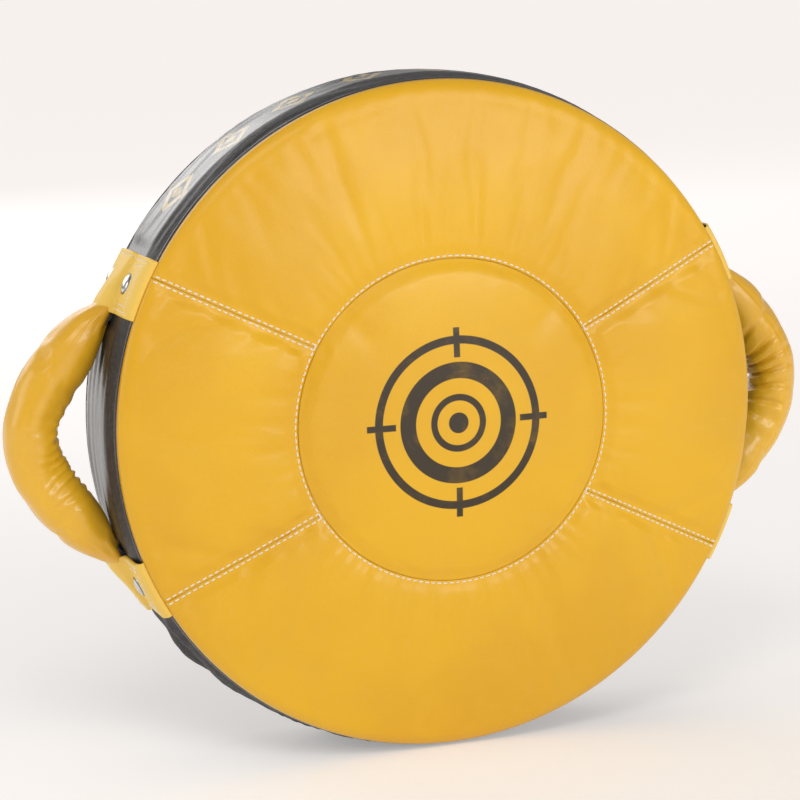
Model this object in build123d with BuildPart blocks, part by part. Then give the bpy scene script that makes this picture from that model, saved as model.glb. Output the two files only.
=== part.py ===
from build123d import *
from math import acos, atan2, cos, degrees, hypot, radians, sin
import os

# A round kick shield: a padded disc that stands on its rim, with a riveted grip on each side,
# two forearm straps behind it and a zip in its back for changing the foam.
#
# Millimetres. X runs to the right and Z up as one looks at the strike face, which points to -Y.
# The origin is under the middle of the whole shield, on the surface that it stands on.
# Angles go round the disc's axis, from +X towards +Z.

# ---- driving dimensions ---------------------------------------------------------------------

# disc
RIM_RADIUS = 230.0      # outside of the side wall
FOOT_PRESS = 1.5        # how far its own weight presses the wall flat where it stands
RIM_DEPTH = 83.0        # front edge of the rim to its rear edge
LEATHER = 2.0           # synthetic leather with its backing
FIT = 0.3               # gap between neighbouring pieces of the cover

# strike face
CROWN = 22.5            # centre of the face in front of the rim
SEAM_RADIUS = 109.0     # round seam of the centre panel
SEAM_CROWN = 18.5       # the face at that seam
SHOULDER_RADIUS = 214.0
SHOULDER_CROWN = 7.1
EDGE_RADIUS = 225.2     # where the rolled edge meets the piping
EDGE_CROWN = 0.7
SEAM_INNER_ANGLE = 30.5     # the four radial seams, above and below the horizontal
SEAM_OUTER_ANGLE = 28.25

# piping and side wall
PIPE_RADIUS = 2.2
PIPE_CENTRE = 226.0
PIPE_SPACE = 4.7        # depth that the piping takes at each edge of the wall
WALL_JOINT_ANGLE = 22.5     # the two gusset strips meet under the bands

# bands and rivets
BAND_START = 20.5
BAND_END = 31.0
BAND_RAMP = 2.0
RIVET_OFFSET = 21.5     # each side of the middle of the grip
RIVET_CAP = 7.5
RIVET_DOME = 3.0
RIVET_POST = 2.0
BURR_RADIUS = 5.0
BURR_THICK = 1.4

# side grips
GRIP_OFFSET = 5.0       # the grips lie this far behind the middle of the wall
GRIP_CENTRE = 228.5     # centre of the grip's bend, from the disc's axis
GRIP_BEND = 44.0
WEB_WIDTH = 20.0
WEB_THICK = 2.5
SLEEVE_RADIUS = 17.8    # round the bend
SLEEVE_ROOT_THICK = 4.6     # half thickness and half width where it is flattened at its root
SLEEVE_ROOT_WIDTH = 15.0
SLEEVE_CLEAR = 12.0     # the sleeve starts this far along the webbing from its band
TAB_LAP = 0.3           # degrees that the webbing's tab runs past the start of its flank

# foam
FOAM_RADIUS = 225.4
FOAM_INSET = 222.8      # inside the piping
STRIKE_FOAM_BACK = 8.0  # rear faces of the layers, behind the front edge of the rim
SHOCK_FOAM_BACK = 30.0
CORE_FOAM_BACK = 54.0
REAR_FOAM_BACK = 78.8

# back
BACK_RADIUS = 223.4
BACK_INSET = 1.5        # outside of the back panel in front of the rear edge of the rim
ZIP_DROP = 150.0        # the zip lies this far below the axis
ZIP_HALF_LENGTH = 132.0
ZIP_SLOT = 7.0          # half height of the gap between the back panels
TAPE_THICK = 1.1
TAPE_REACH = 16.0
TEETH_THICK = 3.2
TEETH_REACH = 3.2
TEETH_GAP = 0.75
SLIDER_LENGTH = 18.0
SLIDER_HALF = 6.2
SLIDER_PLATE = 1.6
SLIDER_X = 120.0        # the slider when the zip is closed
PULL_LENGTH = 34.0
PULL_THICK = 1.6
PULL_HALF = 4.5

# forearm straps
ARM_X = 92.0
ARM_WIDTH = 50.0
ARM_THICK = 5.0
ARM_HALF_SPAN = 124.0   # from the middle of the strap to the end of its tab
ARM_TAB = 48.0
ARM_RISE = 36.0
ARM_CREST = 48.0        # half length of the arch's crest
ARM_BENDS = (24.0, 48.0, 48.0, 24.0)
PATCH_LENGTH = 36.0
PATCH_MARGIN = 2.0      # the patch reaches this far past the end of the tab
PATCH_BORDER = 8.0

# ---- places worked out from them ------------------------------------------------------------

AXIS_Z = RIM_RADIUS - FOOT_PRESS
REAR_REACH = RIM_DEPTH - BACK_INSET + FIT / 3 + ARM_THICK + ARM_RISE
FRONT_Y = (CROWN - REAR_REACH) / 2      # puts the middle of the whole shield at Y = 0
WALL_FRONT = FRONT_Y + PIPE_SPACE
WALL_REAR = FRONT_Y + RIM_DEPTH - PIPE_SPACE
GRIP_Y = FRONT_Y + RIM_DEPTH / 2 + GRIP_OFFSET
BACK_Y = FRONT_Y + RIM_DEPTH - BACK_INSET
RIVET_ANGLE = (BAND_START + BAND_END) / 2
BAND_SEAT = RIM_RADIUS + 0.05
BAND_TOP = BAND_SEAT + LEATHER
WEB_SEAT = RIM_RADIUS + 0.1
WEB_TOP = WEB_SEAT + WEB_THICK
WEB_MIDDLE = WEB_SEAT + WEB_THICK / 2
BRIDGE_SEAT = WEB_TOP + FIT
TAPE_Y = BACK_Y - LEATHER - FIT - TAPE_THICK / 2    # middle of the tape's thickness
FAR = 600.0             # longer than anything that is cut

DISC_AXIS = Axis((0, 0, AXIS_Z), (0, -1, 0))
SIDES = {"left": -1, "right": 1}
LEVELS = {"upper": 1, "lower": -1}

os.makedirs("parts", exist_ok=True)


def save(part, name):
    part.label = name
    export_step(part, f"parts/{name}.step")


def front_plane(y=0.0):
    """The disc seen from the front at depth y: local x is X, local y is height above the axis."""
    return Plane(origin=(0, y, AXIS_Z), x_dir=(1, 0, 0), z_dir=(0, -1, 0))


def radial_plane(angle):
    """A half section through the disc: local x is the radius, local y is Y."""
    a = radians(angle)
    return Plane(origin=(0, 0, AXIS_Z), x_dir=(cos(a), 0, sin(a)), z_dir=(-sin(a), 0, cos(a)))


def outward_plane(angle, y, radius):
    """A plane on the wall whose normal is the outward direction there."""
    a = radians(angle)
    origin = (radius * cos(a), y, AXIS_Z + radius * sin(a))
    return Plane(origin=origin, x_dir=(0, 1, 0), z_dir=(cos(a), 0, sin(a)))


def polar(radius, angle):
    return (radius * cos(radians(angle)), radius * sin(radians(angle)))


def wall_angle(side, level, angle):
    """An angle above or below the horizontal, on the left or the right."""
    return level * angle if side > 0 else 180 - level * angle


# ---- strike face ----------------------------------------------------------------------------

def crown_section(inset, edge_radius, back):
    """Half section under the crowned face, inset below its surface, down to the plane at back."""
    with BuildSketch(radial_plane(0)) as section:
        with BuildLine():
            dome = ThreePointArc(
                (0, FRONT_Y - CROWN + inset),
                (SEAM_RADIUS, FRONT_Y - SEAM_CROWN + inset),
                (SHOULDER_RADIUS - inset / 2, FRONT_Y - SHOULDER_CROWN + inset),
            )
            edge = (edge_radius, FRONT_Y - EDGE_CROWN)
            TangentArc(dome @ 1, edge, tangent=dome % 1)
            Polyline(edge, (edge_radius, back), (0, back), dome @ 0)
        make_face()
    return section


def face_skin():
    """The whole crowned cover, a shell of leather thickness."""
    rim = FRONT_Y - EDGE_CROWN / 4
    outer = crown_section(0, EDGE_RADIUS, rim)
    inner = crown_section(LEATHER, EDGE_RADIUS - LEATHER, rim)
    with BuildPart() as skin:
        add(outer.sketch)
        revolve(axis=DISC_AXIS)
        add(inner.sketch)
        revolve(axis=DISC_AXIS, mode=Mode.SUBTRACT)
    return skin.part


def seam_line(side, level):
    """Two points on a radial seam, carried on past both of its ends."""
    inner = Vector(*polar(SEAM_RADIUS, SEAM_INNER_ANGLE))
    outer = Vector(*polar(RIM_RADIUS, SEAM_OUTER_ANGLE))
    run = (outer - inner).normalized()
    ends = (inner - run * 60, outer + run * 60)
    return [(side * point.X, level * point.Y) for point in ends]


def sector_panel(name, first_seam, second_seam, far_corner):
    inner_a, outer_a = seam_line(*first_seam)
    inner_b, outer_b = seam_line(*second_seam)
    with BuildPart() as panel:
        add(SKIN)
        with BuildSketch(front_plane()):
            Circle(SEAM_RADIUS + FIT / 2)
        extrude(amount=RIM_RADIUS, both=True, mode=Mode.SUBTRACT)
        with BuildSketch(front_plane()):
            Polygon(inner_a, outer_a, far_corner, outer_b, inner_b, align=None)
            offset(amount=-FIT / 2)
        extrude(amount=RIM_RADIUS, both=True, mode=Mode.INTERSECT)
    save(panel.part, name)


SKIN = face_skin()

with BuildPart() as face_centre_panel:
    add(SKIN)
    with BuildSketch(front_plane()):
        Circle(SEAM_RADIUS - FIT / 2)
    extrude(amount=RIM_RADIUS, both=True, mode=Mode.INTERSECT)
save(face_centre_panel.part, "face_centre_panel")

sector_panel("face_top_panel", (1, 1), (-1, 1), (0, FAR))
sector_panel("face_bottom_panel", (1, -1), (-1, -1), (0, -FAR))
sector_panel("face_left_panel", (-1, 1), (-1, -1), (-FAR, 0))
sector_panel("face_right_panel", (1, 1), (1, -1), (FAR, 0))

# ---- piping ---------------------------------------------------------------------------------

PIPING = {
    "front_piping": FRONT_Y + PIPE_RADIUS,
    "rear_piping": FRONT_Y + RIM_DEPTH - PIPE_RADIUS,
}
for name, pipe_y in PIPING.items():
    with BuildPart() as piping:
        with BuildSketch(radial_plane(0)):
            with Locations((PIPE_CENTRE, pipe_y)):
                Circle(PIPE_RADIUS)
        revolve(axis=DISC_AXIS)
    save(piping.part, name)

# ---- side wall ------------------------------------------------------------------------------


def rim_disc(radius, floor, y_front, y_rear):
    """A disc of the given radius, flat where it stands, floor above the ground."""
    with BuildPart() as disc:
        with BuildSketch(front_plane(y_front)):
            Circle(radius)
            with Locations((0, floor - AXIS_Z + FAR / 2)):
                Rectangle(FAR, FAR, mode=Mode.INTERSECT)
        extrude(amount=y_front - y_rear)
    return disc.part


def rivet_places(levels):
    """Angle and depth of every rivet on the bands of the given levels."""
    places = []
    for side in SIDES.values():
        for level in levels:
            for step in (-RIVET_OFFSET, RIVET_OFFSET):
                places.append((wall_angle(side, level, RIVET_ANGLE), GRIP_Y + step))
    return places


def gusset(name, keep_upper, levels):
    """One strip of the wall, cut where the two strips meet and drilled for its rivets."""
    joint = degrees(FIT / 2 / RIM_RADIUS)
    cut = WALL_JOINT_ANGLE + (-joint if keep_upper else joint)
    right, left = polar(FAR, -cut), polar(FAR, 180 + cut)
    with BuildPart() as strip:
        add(rim_disc(RIM_RADIUS, 0, WALL_FRONT, WALL_REAR))
        add(rim_disc(RIM_RADIUS - LEATHER, LEATHER, WALL_FRONT, WALL_REAR), mode=Mode.SUBTRACT)
        with BuildSketch(front_plane()):
            Polygon((0, 0), left, right, align=None)
        extrude(amount=RIM_RADIUS, both=True, mode=Mode.SUBTRACT if keep_upper else Mode.INTERSECT)
        for angle, y in rivet_places(levels):
            with BuildSketch(outward_plane(angle, y, RIM_RADIUS - 10)):
                Circle(RIVET_POST + 0.1)
            extrude(amount=20, mode=Mode.SUBTRACT)
    save(strip.part, name)


gusset("gusset_upper", True, [1])
gusset("gusset_lower", False, [-1])

# ---- bands over the grip roots --------------------------------------------------------------


def bridge_outline(low, high, middle, pocket, seat, top, raised_seat, raised_top):
    """Section of a strip that lies flat and humps over a strap: (height, along) points."""
    foot = pocket + BAND_RAMP
    return [
        (seat, low),
        (top, low),
        (top, middle - foot),
        (raised_top, middle - pocket),
        (raised_top, middle + pocket),
        (top, middle + foot),
        (top, high),
        (seat, high),
        (seat, middle + foot - LEATHER / 2),
        (raised_seat, middle + pocket - LEATHER / 2),
        (raised_seat, middle - pocket + LEATHER / 2),
        (seat, middle - foot + LEATHER / 2),
    ]


def band(side_name, level_name):
    side, level = SIDES[side_name], LEVELS[level_name]
    pocket = WEB_WIDTH / 2 + 1 + LEATHER / 2
    start = min(wall_angle(side, level, BAND_START), wall_angle(side, level, BAND_END))
    outline = bridge_outline(
        WALL_FRONT + FIT, WALL_REAR - FIT, GRIP_Y, pocket,
        BAND_SEAT, BAND_TOP, BRIDGE_SEAT, BRIDGE_SEAT + LEATHER,
    )
    with BuildPart() as strip:
        with BuildSketch(radial_plane(start)):
            Polygon(*outline, align=None)
        revolve(axis=DISC_AXIS, revolution_arc=BAND_END - BAND_START)
        for step in (-RIVET_OFFSET, RIVET_OFFSET):
            angle = wall_angle(side, level, RIVET_ANGLE)
            with BuildSketch(outward_plane(angle, GRIP_Y + step, RIM_RADIUS - 10)):
                Circle(RIVET_POST + 0.1)
            extrude(amount=20, mode=Mode.SUBTRACT)
    save(strip.part, f"{side_name}_{level_name}_band")


for side_name in SIDES:
    for level_name in LEVELS:
        band(side_name, level_name)

# ---- rivets ---------------------------------------------------------------------------------

with BuildPart() as rivet_caps:
    for angle, y in rivet_places((1, -1)):
        seat = outward_plane(angle, y, BAND_TOP + 0.05)
        with BuildSketch(seat):
            Circle(RIVET_CAP)
        extrude(amount=RIVET_DOME, taper=40)
        with BuildSketch(seat):
            Circle(RIVET_POST)
        extrude(amount=-(BAND_TOP + 0.05 - FOAM_RADIUS - 0.6))
save(rivet_caps.part, "rivet_caps")

with BuildPart() as rivet_burrs:
    for angle, y in rivet_places((1, -1)):
        with BuildSketch(outward_plane(angle, y, RIM_RADIUS - LEATHER - 0.4)):
            Circle(BURR_RADIUS)
            Circle(RIVET_POST + 0.1, mode=Mode.SUBTRACT)
        extrude(amount=-BURR_THICK)
save(rivet_burrs.part, "rivet_burrs")

# ---- side grips -----------------------------------------------------------------------------

ROOT = Vector(*polar(WEB_MIDDLE, BAND_START))
BEND_CENTRE = Vector(GRIP_CENTRE, 0)
ROOT_REACH = hypot(ROOT.X - GRIP_CENTRE, ROOT.Y)
# angle, at the centre of the bend, at which the straight flank touches it
TURN = degrees(atan2(ROOT.Y, ROOT.X - GRIP_CENTRE) - acos(GRIP_BEND / ROOT_REACH))
SHOULDER = BEND_CENTRE + Vector(*polar(GRIP_BEND, TURN))
FLANK = (SHOULDER - ROOT).normalized()
FLANK_NORMAL = Vector(-FLANK.Y, FLANK.X)


def webbing(thick, width):
    """The strap through the right grip, from under one band, round the bend, under the other."""
    half = thick / 2
    flank_corners = [
        ROOT - FLANK_NORMAL * half,
        SHOULDER - FLANK_NORMAL * half,
        SHOULDER + FLANK_NORMAL * half,
        ROOT + FLANK_NORMAL * half,
    ]
    wedge = [BEND_CENTRE + Vector(*polar(FAR, turn)) for turn in (-TURN, TURN)]
    with BuildPart() as strap:
        with BuildSketch(front_plane(GRIP_Y - width / 2)):
            with Locations((GRIP_CENTRE, 0)):
                Circle(GRIP_BEND + half)
                Circle(GRIP_BEND - half, mode=Mode.SUBTRACT)
            Polygon(
                (GRIP_CENTRE, 0), *[(p.X, p.Y) for p in wedge], align=None, mode=Mode.INTERSECT
            )
            for level in LEVELS.values():
                Polygon(*[(p.X, level * p.Y) for p in flank_corners], align=None)
                tab_start = level * (BAND_START - TAB_LAP)
                tab_turn = level * (BAND_END - BAND_START)
                with BuildLine():
                    outer = CenterArc((0, 0), WEB_MIDDLE + half, tab_start, tab_turn)
                    inner = CenterArc((0, 0), WEB_MIDDLE - half, tab_start, tab_turn)
                    Line(outer @ 0, inner @ 0)
                    Line(outer @ 1, inner @ 1)
                make_face()
        extrude(amount=-width)
    return strap.part


def flank_section(place):
    """A plane across the grip's upper flank: local x is Y."""
    return Plane(
        origin=(place.X, GRIP_Y, AXIS_Z + place.Y),
        x_dir=(0, 1, 0),
        z_dir=(FLANK.X, 0, FLANK.Y),
    )


def grip_body(inset):
    """The right grip's shape, inset below its surface: round at the bend, flat at its roots."""
    bend_origin = (GRIP_CENTRE, GRIP_Y, AXIS_Z)
    bend_section = Plane(origin=bend_origin, x_dir=(1, 0, 0), z_dir=(0, 0, 1))
    with BuildPart() as body:
        with BuildSketch(bend_section):
            with Locations((GRIP_BEND, 0)):
                Circle(SLEEVE_RADIUS - inset)
        revolve(axis=Axis(bend_origin, (0, -1, 0)), revolution_arc=TURN)
        with BuildSketch(flank_section(SHOULDER)):
            Circle(SLEEVE_RADIUS - inset)
        with BuildSketch(flank_section(ROOT + FLANK * SLEEVE_CLEAR)):
            Ellipse(SLEEVE_ROOT_WIDTH - inset, SLEEVE_ROOT_THICK - inset)
        loft()
        mirror(about=Plane.XY.offset(AXIS_Z))
    return body.part


with BuildPart() as grip_sleeve:
    add(grip_body(0))
    add(grip_body(LEATHER), mode=Mode.SUBTRACT)

with BuildPart() as grip_core:
    add(grip_body(LEATHER + FIT))
    add(webbing(WEB_THICK + FIT, WEB_WIDTH + FIT), mode=Mode.SUBTRACT)

RIGHT_GRIP = {
    "grip_sleeve": grip_sleeve.part,
    "grip_core": grip_core.part,
    "grip_webbing": webbing(WEB_THICK, WEB_WIDTH),
}
# A grip is the same seen from either side, so half a turn makes the left one from the right.
GRIP_TURN_AXIS = Axis((0, GRIP_Y, 0), (0, 0, 1))
for name, right_piece in RIGHT_GRIP.items():
    save(right_piece, f"right_{name}")
    save(right_piece.rotate(GRIP_TURN_AXIS, 180), f"left_{name}")

# ---- foam -----------------------------------------------------------------------------------

STRIKE_SECTION = crown_section(LEATHER + FIT, FOAM_INSET, FRONT_Y + STRIKE_FOAM_BACK)
with BuildPart() as strike_foam:
    add(STRIKE_SECTION.sketch)
    revolve(axis=DISC_AXIS)
save(strike_foam.part, "strike_foam")

shock_foam = rim_disc(FOAM_RADIUS, 0, FRONT_Y + STRIKE_FOAM_BACK, FRONT_Y + SHOCK_FOAM_BACK)
save(shock_foam, "shock_foam")

core_foam = rim_disc(FOAM_RADIUS, 0, FRONT_Y + SHOCK_FOAM_BACK, FRONT_Y + CORE_FOAM_BACK)
save(core_foam, "core_foam")

with BuildPart() as rear_foam:
    add(rim_disc(BACK_RADIUS, 0, FRONT_Y + CORE_FOAM_BACK, FRONT_Y + REAR_FOAM_BACK))
    # a channel behind the zip, so that its slider runs free of the foam
    with BuildSketch(front_plane(FRONT_Y + REAR_FOAM_BACK)):
        with Locations((0, -ZIP_DROP)):
            RectangleRounded(2 * ZIP_HALF_LENGTH + 20, 2 * TAPE_REACH + 4, 6)
    extrude(amount=9, mode=Mode.SUBTRACT)
save(rear_foam.part, "rear_foam")

# ---- back panels and zip --------------------------------------------------------------------


def back_panel(name, level):
    with BuildPart() as panel:
        with BuildSketch(front_plane(BACK_Y)):
            Circle(BACK_RADIUS)
            with Locations((0, -ZIP_DROP + level * (FAR / 2 + FIT / 2))):
                Rectangle(2 * FAR, FAR, mode=Mode.INTERSECT)
            with Locations((0, -ZIP_DROP)):
                RectangleRounded(
                    2 * ZIP_HALF_LENGTH + 8, 2 * ZIP_SLOT, 3, mode=Mode.SUBTRACT
                )
        extrude(amount=LEATHER)
    save(panel.part, name)


back_panel("back_panel_upper", 1)
back_panel("back_panel_lower", -1)

for level_name, level in LEVELS.items():
    with BuildPart() as zip_tape:
        with BuildSketch(front_plane(TAPE_Y + TAPE_THICK / 2)):
            with Locations((0, -ZIP_DROP + level * (TAPE_REACH + TEETH_REACH) / 2)):
                Rectangle(2 * ZIP_HALF_LENGTH + 12, TAPE_REACH - TEETH_REACH)
        extrude(amount=TAPE_THICK)
    save(zip_tape.part, f"zip_tape_{level_name}")

    with BuildPart() as zip_teeth:
        with BuildSketch(front_plane(TAPE_Y + TEETH_THICK / 2)):
            with Locations((0, -ZIP_DROP + level * (TEETH_GAP + TEETH_REACH) / 2)):
                Rectangle(2 * ZIP_HALF_LENGTH, TEETH_REACH - TEETH_GAP)
        extrude(amount=TEETH_THICK)
    save(zip_teeth.part, f"zip_teeth_{level_name}")

with BuildPart() as zip_stops:
    with BuildSketch(front_plane(TAPE_Y + TEETH_THICK / 2)):
        with Locations(
            (-ZIP_HALF_LENGTH - 1.5, -ZIP_DROP), (ZIP_HALF_LENGTH + 1.5, -ZIP_DROP)
        ):
            RectangleRounded(2.6, 2 * TEETH_REACH - 0.4, 0.8)
    extrude(amount=TEETH_THICK)
save(zip_stops.part, "zip_stops")

# The slider is two plates joined by a wedge that runs between the rows of teeth.
PLATE_OUTER = TAPE_Y + TEETH_THICK / 2 + 0.5    # near faces of the two plates
PLATE_INNER = TAPE_Y - TEETH_THICK / 2 - 0.5
SLIDER_TOP = PLATE_OUTER + SLIDER_PLATE
SLIDER_BOTTOM = PLATE_INNER - SLIDER_PLATE
FLANGE = 1.4
FLANGE_LIP = TAPE_THICK / 2 + 0.4
WEDGE_HALF = TEETH_GAP - 0.35
BRIDGE_HALF = 6.0
BRIDGE_BAR = 1.6
BRIDGE_HALF_WIDTH = 1.2
BRIDGE_GAP = 2.2        # room for the pull's pin under the bridge

with BuildPart() as zip_slider:
    for near, far in ((PLATE_OUTER, SLIDER_TOP), (SLIDER_BOTTOM, PLATE_INNER)):
        with BuildSketch(front_plane(far)):
            with Locations((SLIDER_X, -ZIP_DROP)):
                RectangleRounded(SLIDER_LENGTH, 2 * SLIDER_HALF, 2.5)
        extrude(amount=far - near)
    flange_steps = [
        (SLIDER_X, -ZIP_DROP + step) for step in (SLIDER_HALF - FLANGE / 2, FLANGE / 2 - SLIDER_HALF)
    ]
    for near, far in (
        (TAPE_Y + FLANGE_LIP, PLATE_OUTER + 0.1),
        (PLATE_INNER - 0.1, TAPE_Y - FLANGE_LIP),
    ):
        with BuildSketch(front_plane(far)):
            with Locations(*flange_steps):
                Rectangle(SLIDER_LENGTH - 6, FLANGE)
        extrude(amount=far - near)
    with BuildSketch(front_plane(PLATE_OUTER + 0.1)):
        with Locations((SLIDER_X + SLIDER_LENGTH / 2 - 3, -ZIP_DROP)):
            Rectangle(4, 2 * WEDGE_HALF)
    extrude(amount=PLATE_OUTER - PLATE_INNER + 0.2)
    # the bridge that holds the pull
    with BuildSketch(front_plane(SLIDER_TOP + BRIDGE_GAP + BRIDGE_BAR)):
        with Locations((SLIDER_X, -ZIP_DROP)):
            Rectangle(2 * BRIDGE_HALF, 2 * BRIDGE_HALF_WIDTH)
    extrude(amount=BRIDGE_GAP + BRIDGE_BAR + 0.1)
    with BuildSketch(front_plane(SLIDER_TOP + BRIDGE_GAP)):
        with Locations((SLIDER_X, -ZIP_DROP)):
            Rectangle(2 * (BRIDGE_HALF - BRIDGE_BAR), 4 * BRIDGE_HALF_WIDTH)
    extrude(amount=BRIDGE_GAP, mode=Mode.SUBTRACT)
save(zip_slider.part, "zip_slider")

# The pull lies flat along the zip, its pin under the bridge and its arms beside it.
PIN_Y = SLIDER_TOP + FIT + PULL_THICK / 2
ARM_INNER = BRIDGE_HALF_WIDTH + 0.5
ARM_OUTER = ARM_INNER + 1.6
TAB_START = 7.6

with BuildPart() as zip_pull:
    with BuildSketch(front_plane(PIN_Y + PULL_THICK / 2)):
        with Locations((SLIDER_X - PULL_LENGTH / 2 + 0.4, -ZIP_DROP)):
            RectangleRounded(PULL_LENGTH + 0.8, 2 * PULL_HALF, 3.2)
        with Locations((SLIDER_X - (TAB_START + 0.7) / 2, -ZIP_DROP)):
            Rectangle(TAB_START - 0.7, 2 * ARM_INNER, mode=Mode.SUBTRACT)
        with Locations((SLIDER_X - PULL_LENGTH + 5, -ZIP_DROP)):
            Circle(2.2, mode=Mode.SUBTRACT)
    extrude(amount=PULL_THICK)
save(zip_pull.part, "zip_pull")

# ---- forearm straps -------------------------------------------------------------------------


def arm_strap(name, x):
    """A flat padded strap that arches up from the back between its two sewn tabs."""
    seat = BACK_Y + FIT / 3 + ARM_THICK / 2
    crest = seat + ARM_RISE
    route = [
        (-ARM_HALF_SPAN, seat),
        (ARM_TAB - ARM_HALF_SPAN, seat),
        (-ARM_CREST, crest),
        (ARM_CREST, crest),
        (ARM_HALF_SPAN - ARM_TAB, seat),
        (ARM_HALF_SPAN, seat),
    ]
    with BuildPart() as strap:
        with BuildLine() as path:
            FilletPolyline(*[(x, y, AXIS_Z + z) for z, y in route], radius=list(ARM_BENDS))
        with BuildSketch(Plane(origin=path.line @ 0, x_dir=(1, 0, 0), z_dir=path.line % 0)):
            Rectangle(ARM_WIDTH, ARM_THICK)
        sweep(path=path.line)
    save(strap.part, name)


def strap_patch(name, x, level):
    """The leather patch that is sewn over a strap's tab."""
    pocket = ARM_WIDTH / 2 + 1 + LEATHER / 2
    reach = pocket + BAND_RAMP + PATCH_BORDER
    seat = BACK_Y + 0.05
    raised = BACK_Y + FIT / 3 + ARM_THICK + 0.1
    outline = bridge_outline(
        x - reach, x + reach, x, pocket, seat, seat + LEATHER, raised, raised + LEATHER
    )
    middle = AXIS_Z + level * (ARM_HALF_SPAN + PATCH_MARGIN - PATCH_LENGTH / 2)
    with BuildPart() as patch:
        with BuildSketch(Plane.XY.offset(middle - PATCH_LENGTH / 2)):
            Polygon(*[(along, height) for height, along in outline], align=None)
        extrude(amount=PATCH_LENGTH)
    save(patch.part, name)


for side_name, side in SIDES.items():
    arm_strap(f"{side_name}_arm_strap", side * ARM_X)
    for level_name, level in LEVELS.items():
        strap_patch(f"{side_name}_{level_name}_strap_patch", side * ARM_X, level)
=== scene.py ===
import math

import bmesh
import bpy
import numpy as np
from mathutils import Matrix, Vector


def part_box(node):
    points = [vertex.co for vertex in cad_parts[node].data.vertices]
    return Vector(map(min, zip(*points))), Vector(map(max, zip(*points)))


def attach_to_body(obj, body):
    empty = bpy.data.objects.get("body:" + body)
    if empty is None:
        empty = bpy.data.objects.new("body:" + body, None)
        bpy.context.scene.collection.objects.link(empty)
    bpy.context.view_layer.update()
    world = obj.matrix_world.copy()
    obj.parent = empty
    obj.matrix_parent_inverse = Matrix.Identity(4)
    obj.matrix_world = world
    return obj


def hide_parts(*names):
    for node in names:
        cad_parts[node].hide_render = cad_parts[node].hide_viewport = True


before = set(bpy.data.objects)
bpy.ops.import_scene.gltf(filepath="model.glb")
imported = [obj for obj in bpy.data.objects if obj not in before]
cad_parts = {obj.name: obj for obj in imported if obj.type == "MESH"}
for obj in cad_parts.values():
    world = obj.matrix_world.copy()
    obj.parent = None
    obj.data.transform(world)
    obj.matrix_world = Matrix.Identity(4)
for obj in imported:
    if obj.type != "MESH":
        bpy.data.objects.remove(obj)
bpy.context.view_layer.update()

# A round kick shield standing on its rim, dressed in leather: a puffed face sewn from five panels, a side
# wall between two cords of piping, four riveted bands, two stuffed grips, and a back with forearm straps
# and a zip. Shapes are worked out in millimetres, with heights taken from the middle of the disc.

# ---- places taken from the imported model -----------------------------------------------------

MM = 0.001


def node_box(node):
    """Lowest and highest corner of a CAD node, in millimetres."""
    low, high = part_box(node)
    return np.array(low) / MM, np.array(high) / MM


wall_low, wall_high = node_box("gusset_upper")
piping_low, piping_high = node_box("front_piping")
back_high = node_box("back_panel_upper")[1]
sleeve_low, sleeve_high = node_box("right_grip_sleeve")
band_low, band_high = node_box("right_upper_band")
strap_low, strap_high = node_box("right_arm_strap")

AXIS_Z = (piping_low[2] + piping_high[2]) / 2
WALL_RADIUS = wall_high[0]
WALL_FRONT = wall_low[1]
WALL_REAR = wall_high[1]
PIPE_SPACE = 4.7        # room for the piping between the wall and the face
FRONT_Y = WALL_FRONT - PIPE_SPACE
BACK_Y = back_high[1]
BACK_RADIUS = back_high[0]
GRIP_Y = (sleeve_low[1] + sleeve_high[1]) / 2
ZIP_TAPE_LAP = 3.2      # the upper tape starts this far over the zip's middle
ZIP_HEIGHT = node_box("zip_tape_upper")[0][2] - ZIP_TAPE_LAP - AXIS_Z

# ---- sizes of the leatherwork ---------------------------------------------------------------

CROWN = 22.5            # middle of the face in front of the rim
DOME_RADIUS = 1487.0    # of the bare dome under the puff
SEAM_RADIUS = 109.0
SHOULDER_RADIUS = 214.0     # the edge starts to roll over here
SHOULDER_CROWN = 7.1
EDGE_RADIUS = 226.6
EDGE_CROWN = 0.7
FACE_SKIN = 2.1         # inner side of the face leather, under the bare dome
PANEL_GAP = 0.15        # each panel stops this far short of its seams
SEAM_INNER_ANGLE = 30.5
SEAM_OUTER_ANGLE = 28.25
SEAM_DIP = 1.7
SEAM_FLAT = 3.4         # half width of the stitched strip along a seam
SEAM_SLOPE = 8.0        # how far the puff takes to rise beside it
PUFF_CAP = 4.2          # the simulation may swell a face panel this much
EDGE_INNER_RADIUS = 223.1

STITCH_PITCH = 4.35
STITCH_LENGTH = 3.3
STITCH_THICK = 1.1
ROW_OFFSET = 1.85       # each row of a double seam from its middle
CIRCLE_ROW_RADIUS = 110.8

WALL_FOLD = 16.0        # the wall folds in towards the piping over this width
PIPE_RING = {"front": 225.5, "rear": 226.0}
PIPE_RADIUS = {"front": 2.0, "rear": 2.2}

BAND_START = 20.5
BAND_END = 31.0
BAND_SEAT = WALL_RADIUS + 0.05
BAND_THICK = 2.2
BAND_LIP_THICK = 1.35   # where it is tucked under the edge of the face
WALL_JOINT = 22.5       # the two wall strips meet here, under the lower bands
WALL_STRIPS = {"upper": (-WALL_JOINT, 180 + WALL_JOINT), "lower": (-180 + WALL_JOINT, -WALL_JOINT)}
RIVET_ANGLE = (BAND_START + BAND_END) / 2
RIVET_OFFSET = 21.5

GRIP_RADIUS = 18.0
GRIP_TAPER = 49.0       # a grip is full from here to its middle
GRIP_ROUTE = ((272.3, 0.0), (270.6, 14.5), (264.6, 28.5), (255.6, 42.0), (245.2, 55.5), (234.8, 68.5),
              (224.6, 79.6), (215.8, 88.8))
GRIP_CAP = 2.0          # the simulation may swell a grip this much
GRIP_REACH = {-1: 1.0, 1: 0.92}     # the right grip is pressed in a little

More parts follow.
